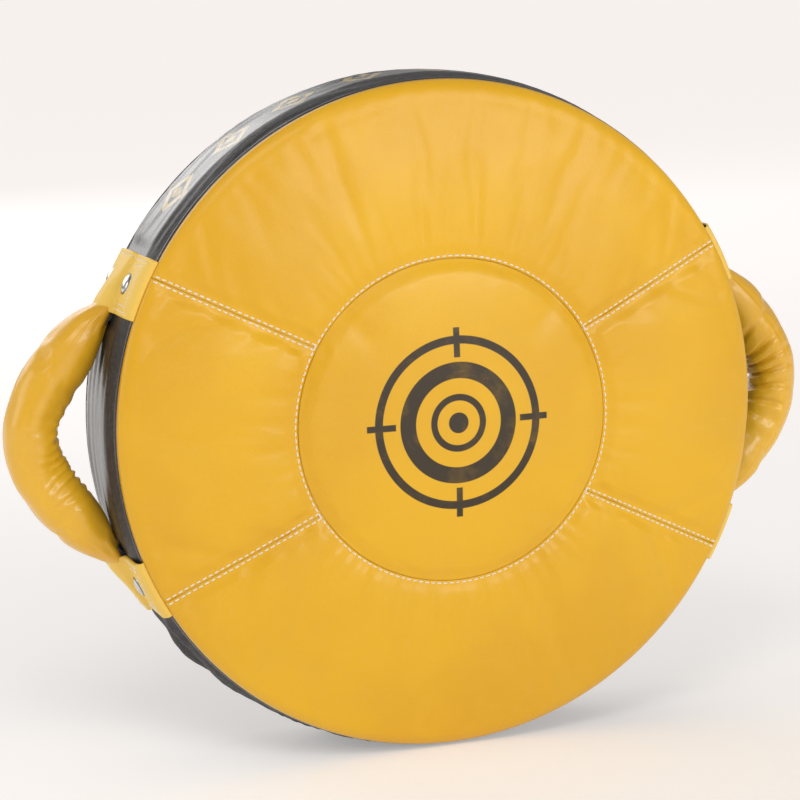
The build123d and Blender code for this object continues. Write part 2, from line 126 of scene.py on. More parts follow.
SIDES = {"left": -1, "right": 1}
LEVELS = {"upper": 1, "lower": -1}
CORNERS = {f"{side}_{level}": (SIDES[side], LEVELS[level]) for side in SIDES for level in LEVELS}


# ---- small helpers --------------------------------------------------------------------------

def ease(value, low, high):
    """0 below low, 1 above high, and smooth between."""
    t = np.clip((value - low) / (high - low), 0, 1)
    return t * t * (3 - 2 * t)


def bunched(count, pull):
    """Places from 0 to 1 that lie closer together near both ends."""
    t = np.linspace(0, 1, count)
    return t - pull * np.sin(2 * np.pi * t) / (2 * np.pi)


def wander(a, b, reach, seed):
    """A slow, fixed unevenness over two coordinates, about -1 to 1, with bumps about reach apart."""
    waves = 6
    rng = np.random.default_rng(seed)
    total = np.zeros(np.broadcast(a, b).shape)
    for _ in range(waves):
        turn = rng.uniform(0, 2 * np.pi)
        length = reach * rng.uniform(0.7, 1.7)
        shift = rng.uniform(0, 2 * np.pi)
        total += np.sin((a * math.cos(turn) + b * math.sin(turn)) * 2 * np.pi / length + shift)
    return total / math.sqrt(waves)


def polar(radius, degrees):
    return radius * np.cos(np.radians(degrees)), radius * np.sin(np.radians(degrees))


def stack(x, y, height):
    return np.stack(np.broadcast_arrays(x, y, height), axis=-1).astype(float)


def mesh_object(name, points, faces, merge=0.0):
    """A smooth mesh object from points in millimetres, with its faces turned outwards."""
    data = bpy.data.meshes.new(name)
    data.from_pydata((np.array(points, float) * MM).tolist(), [], faces)
    form = bmesh.new()
    form.from_mesh(data)
    if merge:
        bmesh.ops.remove_doubles(form, verts=form.verts, dist=merge)
    bmesh.ops.recalc_face_normals(form, faces=form.faces)
    form.to_mesh(data)
    form.free()
    data.polygons.foreach_set("use_smooth", [True] * len(data.polygons))
    return linked(name, data)


def linked(name, data):
    thing = bpy.data.objects.new(name, data)
    bpy.context.scene.collection.objects.link(thing)
    return thing


def new_piece(name, points, faces):
    """A piece from points whose heights are taken from the middle of the disc."""
    placed = np.array(points, float).reshape(-1, 3) + (0, 0, AXIS_Z)
    return mesh_object(name, placed, faces, merge=1e-6)


def grid_faces(rows, columns, start=0, wrap=False, flip=False):
    """Quads over a grid of points that are numbered row by row."""
    faces = []
    last = columns if wrap else columns - 1
    for i in range(rows - 1):
        for j in range(last):
            k = (j + 1) % columns
            a = start + i * columns
            b = a + columns
            quad = (a + j, b + j, b + k, a + k)
            faces.append(quad[::-1] if flip else quad)
    return faces


def shell_faces(rows, columns):
    """Faces of a closed shell: an outer grid, an inner grid after it, and the walls between them."""
    size = rows * columns
    faces = grid_faces(rows, columns)
    faces += grid_faces(rows, columns, start=size, flip=True)
    rim = [j for j in range(columns)]
    rim += [i * columns + columns - 1 for i in range(1, rows)]
    rim += [(rows - 1) * columns + j for j in range(columns - 2, -1, -1)]
    rim += [i * columns for i in range(rows - 2, 0, -1)]
    for a, b in zip(rim, rim[1:] + rim[:1]):
        faces.append((a, b, b + size, a + size))
    return faces


def shell_piece(name, outer, inner):
    rows, columns = outer.shape[:2]
    points = np.concatenate([outer.reshape(-1, 3), inner.reshape(-1, 3)])
    return new_piece(name, points, shell_faces(rows, columns))


def tube_faces(rings, around):
    """Faces of a closed tube, with a fan over each end from two points after the rings."""
    faces = grid_faces(rings, around, wrap=True)
    first, last = rings * around, rings * around + 1
    end = (rings - 1) * around
    for j in range(around):
        k = (j + 1) % around
        faces.append((first, j, k))
        faces.append((last, end + k, end + j))
    return faces


def tube_points(rings):
    return np.concatenate([rings.reshape(-1, 3), rings[0].mean(0)[None], rings[-1].mean(0)[None]])


def carried(count, places):
    """Weights that carry values at count even steps smoothly to places from 0 to 1."""
    step = np.clip(places * (count - 1), 0, count - 1 - 1e-9)
    first = np.floor(step).astype(int)
    t = step - first
    shares = (
        (1 - t) ** 3 / 6,
        (3 * t ** 3 - 6 * t ** 2 + 4) / 6,
        (-3 * t ** 3 + 3 * t ** 2 + 3 * t + 1) / 6,
        t ** 3 / 6,
    )
    weights = np.zeros((len(places), count))
    for offset, share in zip((-1, 0, 1, 2), shares):
        column = np.clip(first + offset, 0, count - 1)
        np.add.at(weights, (np.arange(len(places)), column), share)
    return weights


# ---- cloth ----------------------------------------------------------------------------------

CLOTH_FRAMES = 20


def cloth_blank(name, points, faces, pinned):
    """A closed blank, ready to be blown up. The pinned points stay where they are sewn."""
    blank = mesh_object(name, points, faces)
    held = blank.vertex_groups.new(name="sewn")
    held.add([int(i) for i in np.flatnonzero(pinned)], 1.0, "REPLACE")
    cloth = blank.modifiers.new("cloth", "CLOTH")
    cloth.settings.quality = 6
    cloth.settings.mass = 0.25
    cloth.settings.tension_stiffness = 30
    cloth.settings.compression_stiffness = 30
    cloth.settings.shear_stiffness = 12
    cloth.settings.bending_stiffness = 0.6
    cloth.settings.tension_damping = 12
    cloth.settings.compression_damping = 12
    cloth.settings.shrink_min = -0.015
    cloth.settings.vertex_group_mass = "sewn"
    cloth.settings.use_pressure = True
    cloth.settings.uniform_pressure_force = 4
    cloth.settings.effector_weights.gravity = 0
    cloth.collision_settings.use_collision = False
    cloth.point_cache.frame_start = 1
    cloth.point_cache.frame_end = CLOTH_FRAMES
    return blank


def blow_up(blanks):
    """Runs the cloth of every blank and gives how far each of its points moved."""
    for step in range(1, CLOTH_FRAMES + 1):
        bpy.context.scene.frame_set(step)
    moved = {}
    shown = bpy.context.evaluated_depsgraph_get()
    for name, (blank, points) in blanks.items():
        result = blank.evaluated_get(shown).to_mesh()
        now = np.zeros(len(result.vertices) * 3)
        result.vertices.foreach_get("co", now)
        moved[name] = now.reshape(-1, 3) / MM - points
        blank.evaluated_get(shown).to_mesh_clear()
    for blank, _ in blanks.values():
        data = blank.data
        bpy.data.objects.remove(blank)
        bpy.data.meshes.remove(data)
    bpy.context.scene.frame_set(1)
    return moved


# ---- strike face ----------------------------------------------------------------------------

def crown(radius):
    """Depth of the bare dome in front of the rim, with its rolled edge."""
    dome = CROWN - DOME_RADIUS + np.sqrt(DOME_RADIUS ** 2 - np.minimum(radius, SHOULDER_RADIUS) ** 2)
    roll = np.clip((radius - SHOULDER_RADIUS) / (EDGE_RADIUS - SHOULDER_RADIUS), 0, 1)
    rise = SHOULDER_CROWN - EDGE_CROWN
    rolled = EDGE_CROWN + rise * np.sqrt(1 - roll ** 2.2) - 0.8 * roll * (1 - roll)
    return np.where(radius > SHOULDER_RADIUS, rolled, dome)


def seam_ends(side, level):
    inner = np.array(polar(SEAM_RADIUS, SEAM_INNER_ANGLE)) * (side, level)
    outer = np.array(polar(EDGE_RADIUS, SEAM_OUTER_ANGLE)) * (side, level)
    return inner, outer


def seam_angle(side, level, radius):
    """Direction of a radial seam where it crosses a radius."""
    inner, outer = seam_ends(side, level)
    along = np.linspace(-0.02, 1.05, 60)[:, None]
    points = inner + (outer - inner) * along
    angle = np.unwrap(np.arctan2(points[:, 1], points[:, 0]))
    return np.interp(radius, np.hypot(points[:, 0], points[:, 1]), angle)


SECTORS = {     # the corners whose seams bound each outer panel
    "top": ((1, 1), (-1, 1)),
    "left": ((-1, 1), (-1, -1)),
    "bottom": ((-1, -1), (1, -1)),
    "right": ((1, -1), (1, 1)),
}


def sector_plan(name, across, out):
    """Places in the face's plane of a sector's grid: across runs between its seams, out from the middle."""
    first, second = SECTORS[name]
    radius = SEAM_RADIUS + PANEL_GAP + (EDGE_RADIUS - SEAM_RADIUS - PANEL_GAP) * out
    start = seam_angle(*first, radius)
    end = seam_angle(*second, radius)
    end = start + np.mod(end - start, 2 * np.pi)
    inset = PANEL_GAP / radius
    angle = (start + inset)[:, None] + (end - start - 2 * inset)[:, None] * across[None, :]
    return radius[:, None] * np.cos(angle), radius[:, None] * np.sin(angle)


def centre_plan(across, out):
    """Places in the face's plane of the round centre panel's grid."""
    a = (2 * across - 1)[None, :]
    b = (2 * out - 1)[:, None]
    reach = SEAM_RADIUS - PANEL_GAP
    return reach * a * np.sqrt(1 - b ** 2 / 2), reach * b * np.sqrt(1 - a ** 2 / 2)


def panel_plan(name, across, out):
    if name == "centre":
        return centre_plan(across, out)
    return sector_plan(name, across, out)


PANELS = ("centre", "top", "bottom", "left", "right")
BLANK_GRID = dict(zip(PANELS, ((42, 42), (24, 84), (24, 84), (24, 44), (24, 44))))
FINE_GRID = dict(zip(PANELS, ((140, 140), (66, 232), (66, 232), (66, 124), (66, 124))))


def face_under(x, height):
    """The inner side of the face leather."""
    radius = np.hypot(x, height)
    shrink = np.minimum(1, EDGE_INNER_RADIUS / np.maximum(radius, 1))
    depth = np.maximum(crown(radius * shrink) - FACE_SKIN, 0.2)
    return stack(x * shrink, FRONT_Y - depth, height * shrink)


def panel_blank(name):
    rows, columns = BLANK_GRID[name]
    x, height = panel_plan(name, np.linspace(0, 1, columns), np.linspace(0, 1, rows))
    outer = stack(x, FRONT_Y - crown(np.hypot(x, height)), height)
    inner = face_under(x, height)
    points = np.concatenate([outer.reshape(-1, 3), inner.reshape(-1, 3)])
    free = np.zeros((rows, columns), bool)
    free[1:-1, 1:-1] = True
    pinned = np.concatenate([~free.ravel(), np.ones(rows * columns, bool)])
    return cloth_blank("blank_" + name, points, shell_faces(rows, columns), pinned), points


def seam_distances(x, height):
    """Distance to the nearest radial seam, the place along it, and the distance to the round seam."""
    nearest = np.full(x.shape, 1e6)
    along = np.zeros(x.shape)
    for side, level in CORNERS.values():
        inner, outer = seam_ends(side, level)
        run = outer - inner
        length = math.hypot(*run)
        t = ((x - inner[0]) * run[0] + (height - inner[1]) * run[1]) / length
        off = np.hypot(x - inner[0] - run[0] / length * np.maximum(t, 0),
                       height - inner[1] - run[1] / length * np.maximum(t, 0))
        closer = off < nearest
        nearest = np.where(closer, off, nearest)
        along = np.where(closer, t, along)
    return nearest, along, np.abs(np.hypot(x, height) - SEAM_RADIUS)


def seam_relief(x, height):
    """How far the stitching pulls the leather in, and the small gathers that it makes beside it."""
    radial, along, ring = seam_distances(x, height)
    angle = np.degrees(np.arctan2(height, x))
    near_ring = 1 - ease(ring, 1.2, SEAM_SLOPE + 3)
    near_radial = 1 - ease(radial, SEAM_FLAT, SEAM_FLAT + SEAM_SLOPE)
    dip = SEAM_DIP * np.maximum(near_radial, 0.8 * near_ring)
    crease = 0.25 * np.exp(-np.minimum(radial, ring) ** 2 / 0.5)
    beside_radial = np.sin(2 * np.pi * along / 13 + 2 * wander(x, height, 60, 11))
    beside_ring = np.sin(np.radians(angle * 23) + 2 * wander(x, height, 70, 12))
    gathers = np.exp(-((radial - 8) / 5) ** 2) * beside_radial
    gathers += 0.7 * np.exp(-((ring - 9) / 6) ** 2) * beside_ring
    gathers *= 0.16 * (1 + 0.5 * wander(x, height, 90, 13))
    return -dip - crease + gathers


def puff_without_cloth(x, height):
    radial, _, ring = seam_distances(x, height)
    edge = np.maximum(EDGE_RADIUS - np.hypot(x, height), 0)
    inside = np.minimum(np.minimum(radial, ring), edge)
    return PUFF_CAP * np.tanh(inside / 26)


def face_panel(name, swell):
    rows, columns = FINE_GRID[name]
    across, out = bunched(columns, 0.72), bunched(rows, 0.62)
    x, height = panel_plan(name, across, out)
    radius = np.hypot(x, height)
    if swell is None:
        puff = puff_without_cloth(x, height)
    else:
        puff = carried(swell.shape[0], out) @ swell @ carried(swell.shape[1], across).T
    uneven = 0.28 * wander(x, height, 95, 21) + 0.10 * wander(x, height, 34, 22)
    uneven *= 1 - ease(radius, SHOULDER_RADIUS - 8, EDGE_RADIUS - 3)
    depth = crown(radius) + puff + seam_relief(x, height) * (1 - ease(radius, 219, 225)) + uneven
    depth = np.maximum(depth, crown(radius) - FACE_SKIN + 0.35)
    outer = stack(x, FRONT_Y - depth, height)
    return shell_piece(f"face_{name}", outer, face_under(x, height))


def face_swelling():
    """How far each face panel swells under cloth pressure, as a grid for each panel."""
    blanks = {name: panel_blank(name) for name in PANELS}
    moved = blow_up(blanks)
    swelling = {}
    for name in PANELS:
        rows, columns = BLANK_GRID[name]
        forward = -moved[name][:rows * columns, 1].reshape(rows, columns)
        top = max(float(forward.max()), 1e-6)
        swelling[name] = PUFF_CAP * np.tanh(forward / top * 1.5) / math.tanh(1.5)
    return swelling


# ---- piping and side wall -------------------------------------------------------------------

def under_band(angle):
    """1 where a band or a grip's root presses on the wall, 0 elsewhere."""
    folded = np.abs(np.mod(angle + 90, 180) - 90)
    return ease(folded, 17.0, 19.5) * (1 - ease(folded, 32.0, 34.5))


def wall_profile(y):
    """The wall's bare radius across its width. It draws in to the piping at both edges."""
    front = 1 - np.clip((y - WALL_FRONT) / WALL_FOLD, 0, 1)
    rear = ease(y, WALL_REAR - 11, WALL_REAR + 4)
    return WALL_RADIUS - 4.2 * front ** 1.3 - 3.0 * rear


def wall_relief(angle, y):
    """Bulge, lengthwise creases and the gathers beside the piping, outside the bare wall."""
    arc = np.radians(angle) * WALL_RADIUS
    width = (y - WALL_FRONT) / (WALL_REAR - WALL_FRONT)
    bulge = 1.0 * np.sin(np.pi * width) * (1 + 0.35 * wander(arc, 3 * y, 160, 31))
    bend = 2.2 * wander(arc, 2 * y, 120, 32)
    streaks = np.sin(2 * np.pi * y / 13.5 + bend) + 0.6 * np.sin(2 * np.pi * y / 7.3 + 1.7 * bend)
    streaks *= 0.20 * (1 + 0.8 * wander(arc, y * 2, 90, 33))
    edge = np.minimum(y - WALL_FRONT, WALL_REAR - y)
    gathers = np.sin(2 * np.pi * arc / 11.5 + 3 * wander(arc, y, 55, 34)) * np.exp(-edge / 8)
    low = ease(np.sin(np.radians(angle)) * -1, 0.35, 0.68)
    gathers *= 0.25 + 1.65 * low * (1 + 0.5 * wander(arc, y, 45, 35))
    gathers *= ease(y - WALL_FRONT, 0.5, 9.0)
    slack = 2.2 * low * wander(arc, y * 1.6, 38, 36) * np.sin(np.pi * np.clip(width, 0, 1))
    return (bulge + streaks + gathers + slack) * (1 - under_band(angle))


def wall_strip(name, start, end):
    step = 0.42
    count = int(round((end - start) / step)) + 1
    angle = np.linspace(start, end, count)[:, None]
    y = (WALL_FRONT + (WALL_REAR - WALL_FRONT) * bunched(40, 0.45))[None, :]
    radius = wall_profile(y) + wall_relief(angle, y)
    x, height = polar(radius, angle)
    outer = stack(x, y, np.maximum(height, -AXIS_Z))
    inner_radius = np.minimum(227.8, radius - 1.1)
    x, height = polar(inner_radius, angle)
    return shell_piece(name, outer, stack(x, y, height))


def node_tree(name, inputs):
    """A Geometry Nodes tree with named inputs, and its first and last nodes."""
    tree = bpy.data.node_groups.new(name, "GeometryNodeTree")
    tree.interface.new_socket("Geometry", in_out="OUTPUT", socket_type="NodeSocketGeometry")
    for title, kind in inputs:
        tree.interface.new_socket(title, in_out="INPUT", socket_type=kind)
    return tree, tree.nodes.new("NodeGroupInput"), tree.nodes.new("NodeGroupOutput")


def put(tree, kind, inputs=None, **settings):
    """Adds a node with its settings. An input is given a value or is linked to another node's socket."""
    node = tree.nodes.new(kind)
    for title, value in settings.items():
        setattr(node, title, value)
    for title, value in (inputs or {}).items():
        if isinstance(value, bpy.types.NodeSocket):
            tree.links.new(value, node.inputs[title])
        else:
            node.inputs[title].default_value = value
    return node


def finish_tree(tree, shape, finish, last):
    """Ends a tree in Realize Instances and Set Material."""
    real = put(tree, "GeometryNodeRealizeInstances", {"Geometry": shape})
    dressed = put(tree, "GeometryNodeSetMaterial", {"Geometry": real.outputs[0], "Material": finish})
    tree.links.new(dressed.outputs[0], last.inputs[0])


def facing(tree):
    """A rotation whose X follows the line and whose Z stands on the surface below it."""
    tangent = put(tree, "GeometryNodeInputTangent")
    stand = put(tree, "GeometryNodeInputNamedAttribute", {"Name": "up"}, data_type="FLOAT_VECTOR")
    along = put(tree, "FunctionNodeAlignRotationToVector", {"Vector": tangent.outputs[0]}, axis="X")
    return put(tree, "FunctionNodeAlignRotationToVector",
               {"Rotation": along.outputs[0], "Vector": stand.outputs[0]}, axis="Z", pivot_axis="X")


def row_tree():
    """Sets one small shape after another along lines, a pitch apart."""
    tree, first, last = node_tree("pieces_in_a_row", (
        ("Lines", "NodeSocketGeometry"),
        ("Pitch", "NodeSocketFloat"),
        ("Shape", "NodeSocketObject"),
        ("Unevenness", "NodeSocketFloat"),
        ("Seed", "NodeSocketInt"),
        ("Finish", "NodeSocketMaterial"),
    ))
    lines = put(tree, "GeometryNodeMeshToCurve", {"Mesh": first.outputs["Lines"]})
    spaced = put(tree, "GeometryNodeResampleCurve",
                 {"Curve": lines.outputs[0], "Length": first.outputs["Pitch"]}, mode="LENGTH")
    shape = put(tree, "GeometryNodeObjectInfo", {"Object": first.outputs["Shape"]})
    least = put(tree, "ShaderNodeMath", {0: 1.0, 1: first.outputs["Unevenness"]}, operation="SUBTRACT")
    most = put(tree, "ShaderNodeMath", {0: 1.0, 1: first.outputs["Unevenness"]}, operation="ADD")
    size = put(tree, "FunctionNodeRandomValue",
               {2: least.outputs[0], 3: most.outputs[0], "Seed": first.outputs["Seed"]}, data_type="FLOAT")
    set_out = put(tree, "GeometryNodeInstanceOnPoints", {
        "Points": spaced.outputs[0],
        "Instance": shape.outputs["Geometry"],
        "Rotation": facing(tree).outputs[0],
        "Scale": size.outputs[1],
    })
    finish_tree(tree, set_out.outputs[0], first.outputs["Finish"], last)
    return tree


def point_tree():
    """Sets one shape on every point, standing on the surface."""
    tree, first, last = node_tree("pieces_on_points", (
        ("Points", "NodeSocketGeometry"),
        ("Shape", "NodeSocketObject"),
        ("Finish", "NodeSocketMaterial"),
    ))
    shape = put(tree, "GeometryNodeObjectInfo", {"Object": first.outputs["Shape"]})
    stand = put(tree, "GeometryNodeInputNamedAttribute", {"Name": "up"}, data_type="FLOAT_VECTOR")
    turned = put(tree, "FunctionNodeAlignRotationToVector", {"Vector": stand.outputs[0]}, axis="Z")
    set_out = put(tree, "GeometryNodeInstanceOnPoints", {
        "Points": first.outputs["Points"],
        "Instance": shape.outputs["Geometry"],
        "Rotation": turned.outputs[0],
    })
    finish_tree(tree, set_out.outputs[0], first.outputs["Finish"], last)
    return tree


def cord_tree():
    """A round cord bent into a ring, a little uneven along its length."""
    tree, first, last = node_tree("piping_ring", (
        ("Geometry", "NodeSocketGeometry"),
        ("Ring Radius", "NodeSocketFloat"),
        ("Cord Radius", "NodeSocketFloat"),
        ("Unevenness", "NodeSocketFloat"),
        ("Bumps", "NodeSocketFloat"),
        ("Centre", "NodeSocketVector"),
        ("Turn", "NodeSocketVector"),
        ("Finish", "NodeSocketMaterial"),
    ))
    ring = put(tree, "GeometryNodeCurvePrimitiveCircle",
               {"Resolution": 900, "Radius": first.outputs["Ring Radius"]}, mode="RADIUS")
    cord = put(tree, "GeometryNodeCurvePrimitiveCircle",
               {"Resolution": 14, "Radius": first.outputs["Cord Radius"]}, mode="RADIUS")
    tube = put(tree, "GeometryNodeCurveToMesh",
               {"Curve": ring.outputs[0], "Profile Curve": cord.outputs[0]})
    bumps = put(tree, "ShaderNodeTexNoise", {"Scale": first.outputs["Bumps"]})
    level = put(tree, "ShaderNodeMath", {0: bumps.outputs[0], 1: 0.5}, operation="SUBTRACT")
    height = put(tree, "ShaderNodeMath",
                 {0: level.outputs[0], 1: first.outputs["Unevenness"]}, operation="MULTIPLY")
    normal = put(tree, "GeometryNodeInputNormal")
    push = put(tree, "ShaderNodeVectorMath",
               {0: normal.outputs[0], "Scale": height.outputs[0]}, operation="SCALE")
    bumpy = put(tree, "GeometryNodeSetPosition",
                {"Geometry": tube.outputs[0], "Offset": push.outputs[0]})
    placed = put(tree, "GeometryNodeTransform", {
        "Geometry": bumpy.outputs[0],
        "Translation": first.outputs["Centre"],
        "Rotation": first.outputs["Turn"],
    })
    soft = put(tree, "GeometryNodeSetShadeSmooth", {"Geometry": placed.outputs[0]})
    finish_tree(tree, soft.outputs[0], first.outputs["Finish"], last)
    return tree


def grown(name, source, tree, values):
    """Runs a tree on a source object and keeps the result as a plain mesh piece."""
    modifier = source.modifiers.new("tree", "NODES")
    modifier.node_group = tree
    for socket in tree.interface.items_tree:
        if socket.item_type == "SOCKET" and socket.in_out == "INPUT" and socket.name in values:
            modifier[socket.identifier] = values[socket.name]
    source.update_tag()
    bpy.context.view_layer.update()
    shown = bpy.context.evaluated_depsgraph_get()
    data = bpy.data.meshes.new_from_object(source.evaluated_get(shown), depsgraph=shown)
    data.name = name
    bpy.data.objects.remove(source)
    return linked(name, data)


def line_source(name, rows):
    """A mesh of plain lines, each point with the direction that it faces, from rows of (place, normal)."""
    points, ups, edges = [], [], []
    for row in rows:
        start = len(points)
        points += [place for place, _ in row]
        ups += [normal for _, normal in row]
        edges += [(start + i, start + i + 1) for i in range(len(row) - 1)]
    data = bpy.data.meshes.new(name)
    data.from_pydata(points, edges, [])
    up = data.attributes.new("up", "FLOAT_VECTOR", "POINT")
    up.data.foreach_set("vector", np.array([list(u) for u in ups], np.float32).ravel())
    return linked(name, data)


def laid_on(piece, points, inward):
    """Points in millimetres dropped onto a piece, each with the surface's direction there."""
    row = []
    for point, way in zip(points, np.broadcast_to(inward, np.shape(points))):
        way = Vector(way).normalized()
        start = Vector((np.array(point, float) + (0, 0, AXIS_Z)) * MM) - way * 0.06
        found, place, normal, _ = piece.ray_cast(start, way, distance=0.12)
        if found:
            row.append((place, normal))
    return row


def stitch_shape(name, length, thick):
    """One stitch: a short thread that bows up from the leather and dives back in."""
    rings = []
    turn = np.arange(6) * np.pi / 3
    for along in (-1.0, -0.6, 0.0, 0.6, 1.0):
        bow = thick * 0.5 * (1 - along ** 2) - thick * 0.28
        half = thick * 0.5 * (1 - 0.55 * along ** 4)
        rings.append(stack(along * length / 2, half * np.cos(turn), half * np.sin(turn) + bow))
    return mesh_object(name, tube_points(np.array(rings)), tube_faces(5, 6))


def rivet_shape():
    """A domed rivet cap with a rolled rim, and a mask for painted shade round the rim."""
    outline = [(0.01, 3.0), (2.2, 2.86), (4.2, 2.42), (5.8, 1.72), (6.7, 1.06), (7.05, 0.72), (7.3, 0.78),
               (7.55, 0.66), (7.62, 0.36), (7.5, 0.02), (7.0, -0.15)]
    around = 48
    turn = np.arange(around) * 2 * np.pi / around
    rings = [stack(r * np.cos(turn), r * np.sin(turn), z) for r, z in outline]
    shape = mesh_object("rivet_shape", tube_points(np.array(rings)), tube_faces(len(outline), around))
    reach = np.hypot(*np.array([v.co[:2] for v in shape.data.vertices]).T) / MM
    rim = shape.data.attributes.new("rim_shade", "FLOAT", "POINT")
    rim.data.foreach_set("value", (ease(reach, 6.2, 7.0) * (1 - ease(reach, 7.25, 7.5))).astype(np.float32))
    return shape


# ---- bands and grips ------------------------------------------------------------------------

def wall_angle(side, level, angle):
    """An angle above or below the horizontal, on the left or the right."""
    return np.where(side > 0, level * angle, 180 - level * angle)


def band_rise(angle, y):
    """How far a band stands off the wall where it crosses the grip's webbing and the end of its sleeve."""
    bridge = 2.85 * (1 - ease(np.abs(y - GRIP_Y), 10.3, 13.6))
    hump = 8.2 * (1 - ease(angle, BAND_START - 1.5, 30.0)) * (1 - ease(np.abs(y - GRIP_Y), 5.0, 15.5))
    return bridge + hump


def band_path(count):
    """The underside of a band from the rear of the wall forwards and down over the piping, as depths and
    radii, with the directions that stand on it and the length along it."""
    flat = [(y, BAND_SEAT) for y in np.linspace(band_high[1], band_low[1] + 4, 14)]
    drops = ((5.2, 0.1), (2.6, 0.5), (0.5, 1.2), (-0.35, 2.3), (-0.4, 3.4), (-0.4, 4.3))
    lip = [(FRONT_Y + behind, BAND_SEAT - drop) for behind, drop in drops]
    path = carried(len(flat + lip), np.linspace(0, 1, count)) @ np.array(flat + lip)
    way = np.gradient(path, axis=0)
    length = np.hypot(way[:, 0], way[:, 1])
    way = way / length[:, None]
    return path, np.stack([way[:, 1], -way[:, 0]], 1), np.cumsum(length) - length[0]


def band(name, side, level):
    angle = (BAND_START + (BAND_END - BAND_START) * bunched(46, 0.6))[:, None]
    path, stand, length = band_path(110)
    near_end = np.minimum(angle - BAND_START, BAND_END - angle) * math.radians(1) * WALL_RADIUS
    near_side = np.minimum(length, length[-1] - length)[None, :]
    near = np.minimum(near_end, near_side)
    rounded = 0.9 * (1 - np.sqrt(1 - (1 - np.clip(near / 1.5, 0, 1)) ** 2 * 0.98))
    groove = 0.35 * np.exp(-((near - 3.2) / 1.3) ** 2)
    seed = 41 + int(side > 0) + 2 * int(level > 0)
    depth = path[None, :, 0] + 0 * angle
    uneven = 0.16 * wander(angle * 4, depth, 24, seed) * ease(near, 2, 10)
    lip = ease(path[None, :, 0], FRONT_Y - 0.5, FRONT_Y + 6)
    thick = BAND_LIP_THICK + (BAND_THICK - BAND_LIP_THICK) * lip - rounded - groove * lip + uneven * lip
    thick += 0.3 * ease(near, 3, 14) * lip
    rise = band_rise(angle, depth)
    turned = np.broadcast_to(wall_angle(side, level, angle), thick.shape)
    x, height = polar(path[None, :, 1] + rise + stand[None, :, 1] * thick, turned)
    outer = stack(x, depth + stand[None, :, 0] * thick, height)
    x, height = polar(path[None, :, 1] + rise, turned)
    return shell_piece(name, outer, stack(x, depth, height))


def grip_line(along):
    """The middle of a right grip from its lower root, 0, round to its upper root, 1, with its half thickness
    and half width. Places are x and height."""
    upper = np.array(GRIP_ROUTE)
    route = np.concatenate([upper[:0:-1] * (1, -1), upper])
    fine = np.linspace(0, 1, 1201)
    line = carried(len(route), fine) @ route
    length = np.concatenate([[0], np.cumsum(np.hypot(*np.diff(line, axis=0).T))])
    place = along * length[-1]
    x = np.interp(place, length, line[:, 0])
    height = np.interp(place, length, line[:, 1])
    from_end = np.minimum(place, length[-1] - place)
    full = ease(from_end, 0.0, GRIP_TAPER)
    thick = 4.0 + (GRIP_RADIUS - 4.0) * full ** 0.54
    wide = 10.5 + (GRIP_RADIUS - 10.5) * full ** 0.42
    return x, height, thick, wide


def grip_rings(along, around, extra=None, bed=0.35):
    """Rings of points round a right grip. Around is 0 on its outer side and half a turn at the finger gap."""
    x, height, thick, wide = grip_line(along)
    fine = np.linspace(0, 1, 801)
    fx, fh, _, _ = grip_line(fine)
    tx = np.interp(along, fine, np.gradient(fx, fine))
    th = np.interp(along, fine, np.gradient(fh, fine))
    size = np.hypot(tx, th)
    nx, nh = th / size, -tx / size
    grow = 0 if extra is None else extra
    out = (thick[:, None] + grow) * np.cos(around)[None, :]
    side = (wide[:, None] + grow) * np.sin(around)[None, :]
    px = x[:, None] + nx[:, None] * out
    ph = height[:, None] + nh[:, None] * out
    radius = np.hypot(px, ph)
    lift = np.maximum(WALL_RADIUS + bed - radius, 0)
    px = px * (1 + lift / radius)
    ph = ph * (1 + lift / radius)
    return stack(px, GRIP_Y + side, ph)


def grip_folds(side, along, around):
    """Folds and ripples on a grip: fine ones on the left, deep ones that fan out on the right."""
    s = along[:, None] * 205
    inner = 0.5 - 0.5 * np.cos(around)[None, :]
    front = 0.5 - 0.5 * np.sin(around)[None, :]
    slow = wander(s, around[None, :] * 18, 48, 51 if side > 0 else 52)
    uneven = 0.35 * wander(s, around[None, :] * 18, 30, 53 if side > 0 else 54)
    if side > 0:
        zone = ease(along, 0.36, 0.45) * (1 - ease(along, 0.66, 0.80))
        turned = 2 * np.pi * s / 12.5 + 1.3 * slow + 2.2 * np.sin(around)[None, :]
        fan = 1 - 2.6 * (0.5 - 0.5 * np.cos(turned)) ** 3
        folds = 1.55 * zone[:, None] * inner ** 1.1 * (0.35 + 0.65 * front) * fan
        low = ease(along, 0.12, 0.20) * (1 - ease(along, 0.34, 0.44))
        folds += 0.80 * low[:, None] * inner * np.sin(2 * np.pi * s / 19 + 1.5 * slow)
    else:
        zone = ease(along, 0.20, 0.30) * (1 - ease(along, 0.50, 0.60))
        fine = np.sin(2 * np.pi * s / 7.4 + 2.4 * slow)
        fine = fine * (0.75 + 0.6 * wander(s, around[None, :] * 18, 15, 55))
        folds = 0.80 * zone[:, None] * inner ** 1.6 * fine
        high = ease(along, 0.55, 0.62) * (1 - ease(along, 0.76, 0.84))
        folds += 0.40 * high[:, None] * inner * np.sin(2 * np.pi * s / 15 + 1.8 * slow)
    end = np.minimum(along, 1 - along)
    drawn = np.exp(-((end - 0.075) / 0.035) ** 2)[:, None] * np.sin(around * 9)[None, :]
    seam = np.exp(-((np.mod(around - 5.15 + np.pi, 2 * np.pi) - np.pi) / 0.075) ** 2)[None, :]
    ridge = np.exp(-((np.mod(around - 5.02 + np.pi, 2 * np.pi) - np.pi) / 0.06) ** 2)[None, :]
    return folds + uneven + 0.35 * drawn + (0.35 * ridge - 0.5 * seam) * ease(end, 0.03, 0.09)[:, None]


GRIP_BLANK = (72, 30)
GRIP_FINE = (250, 84)


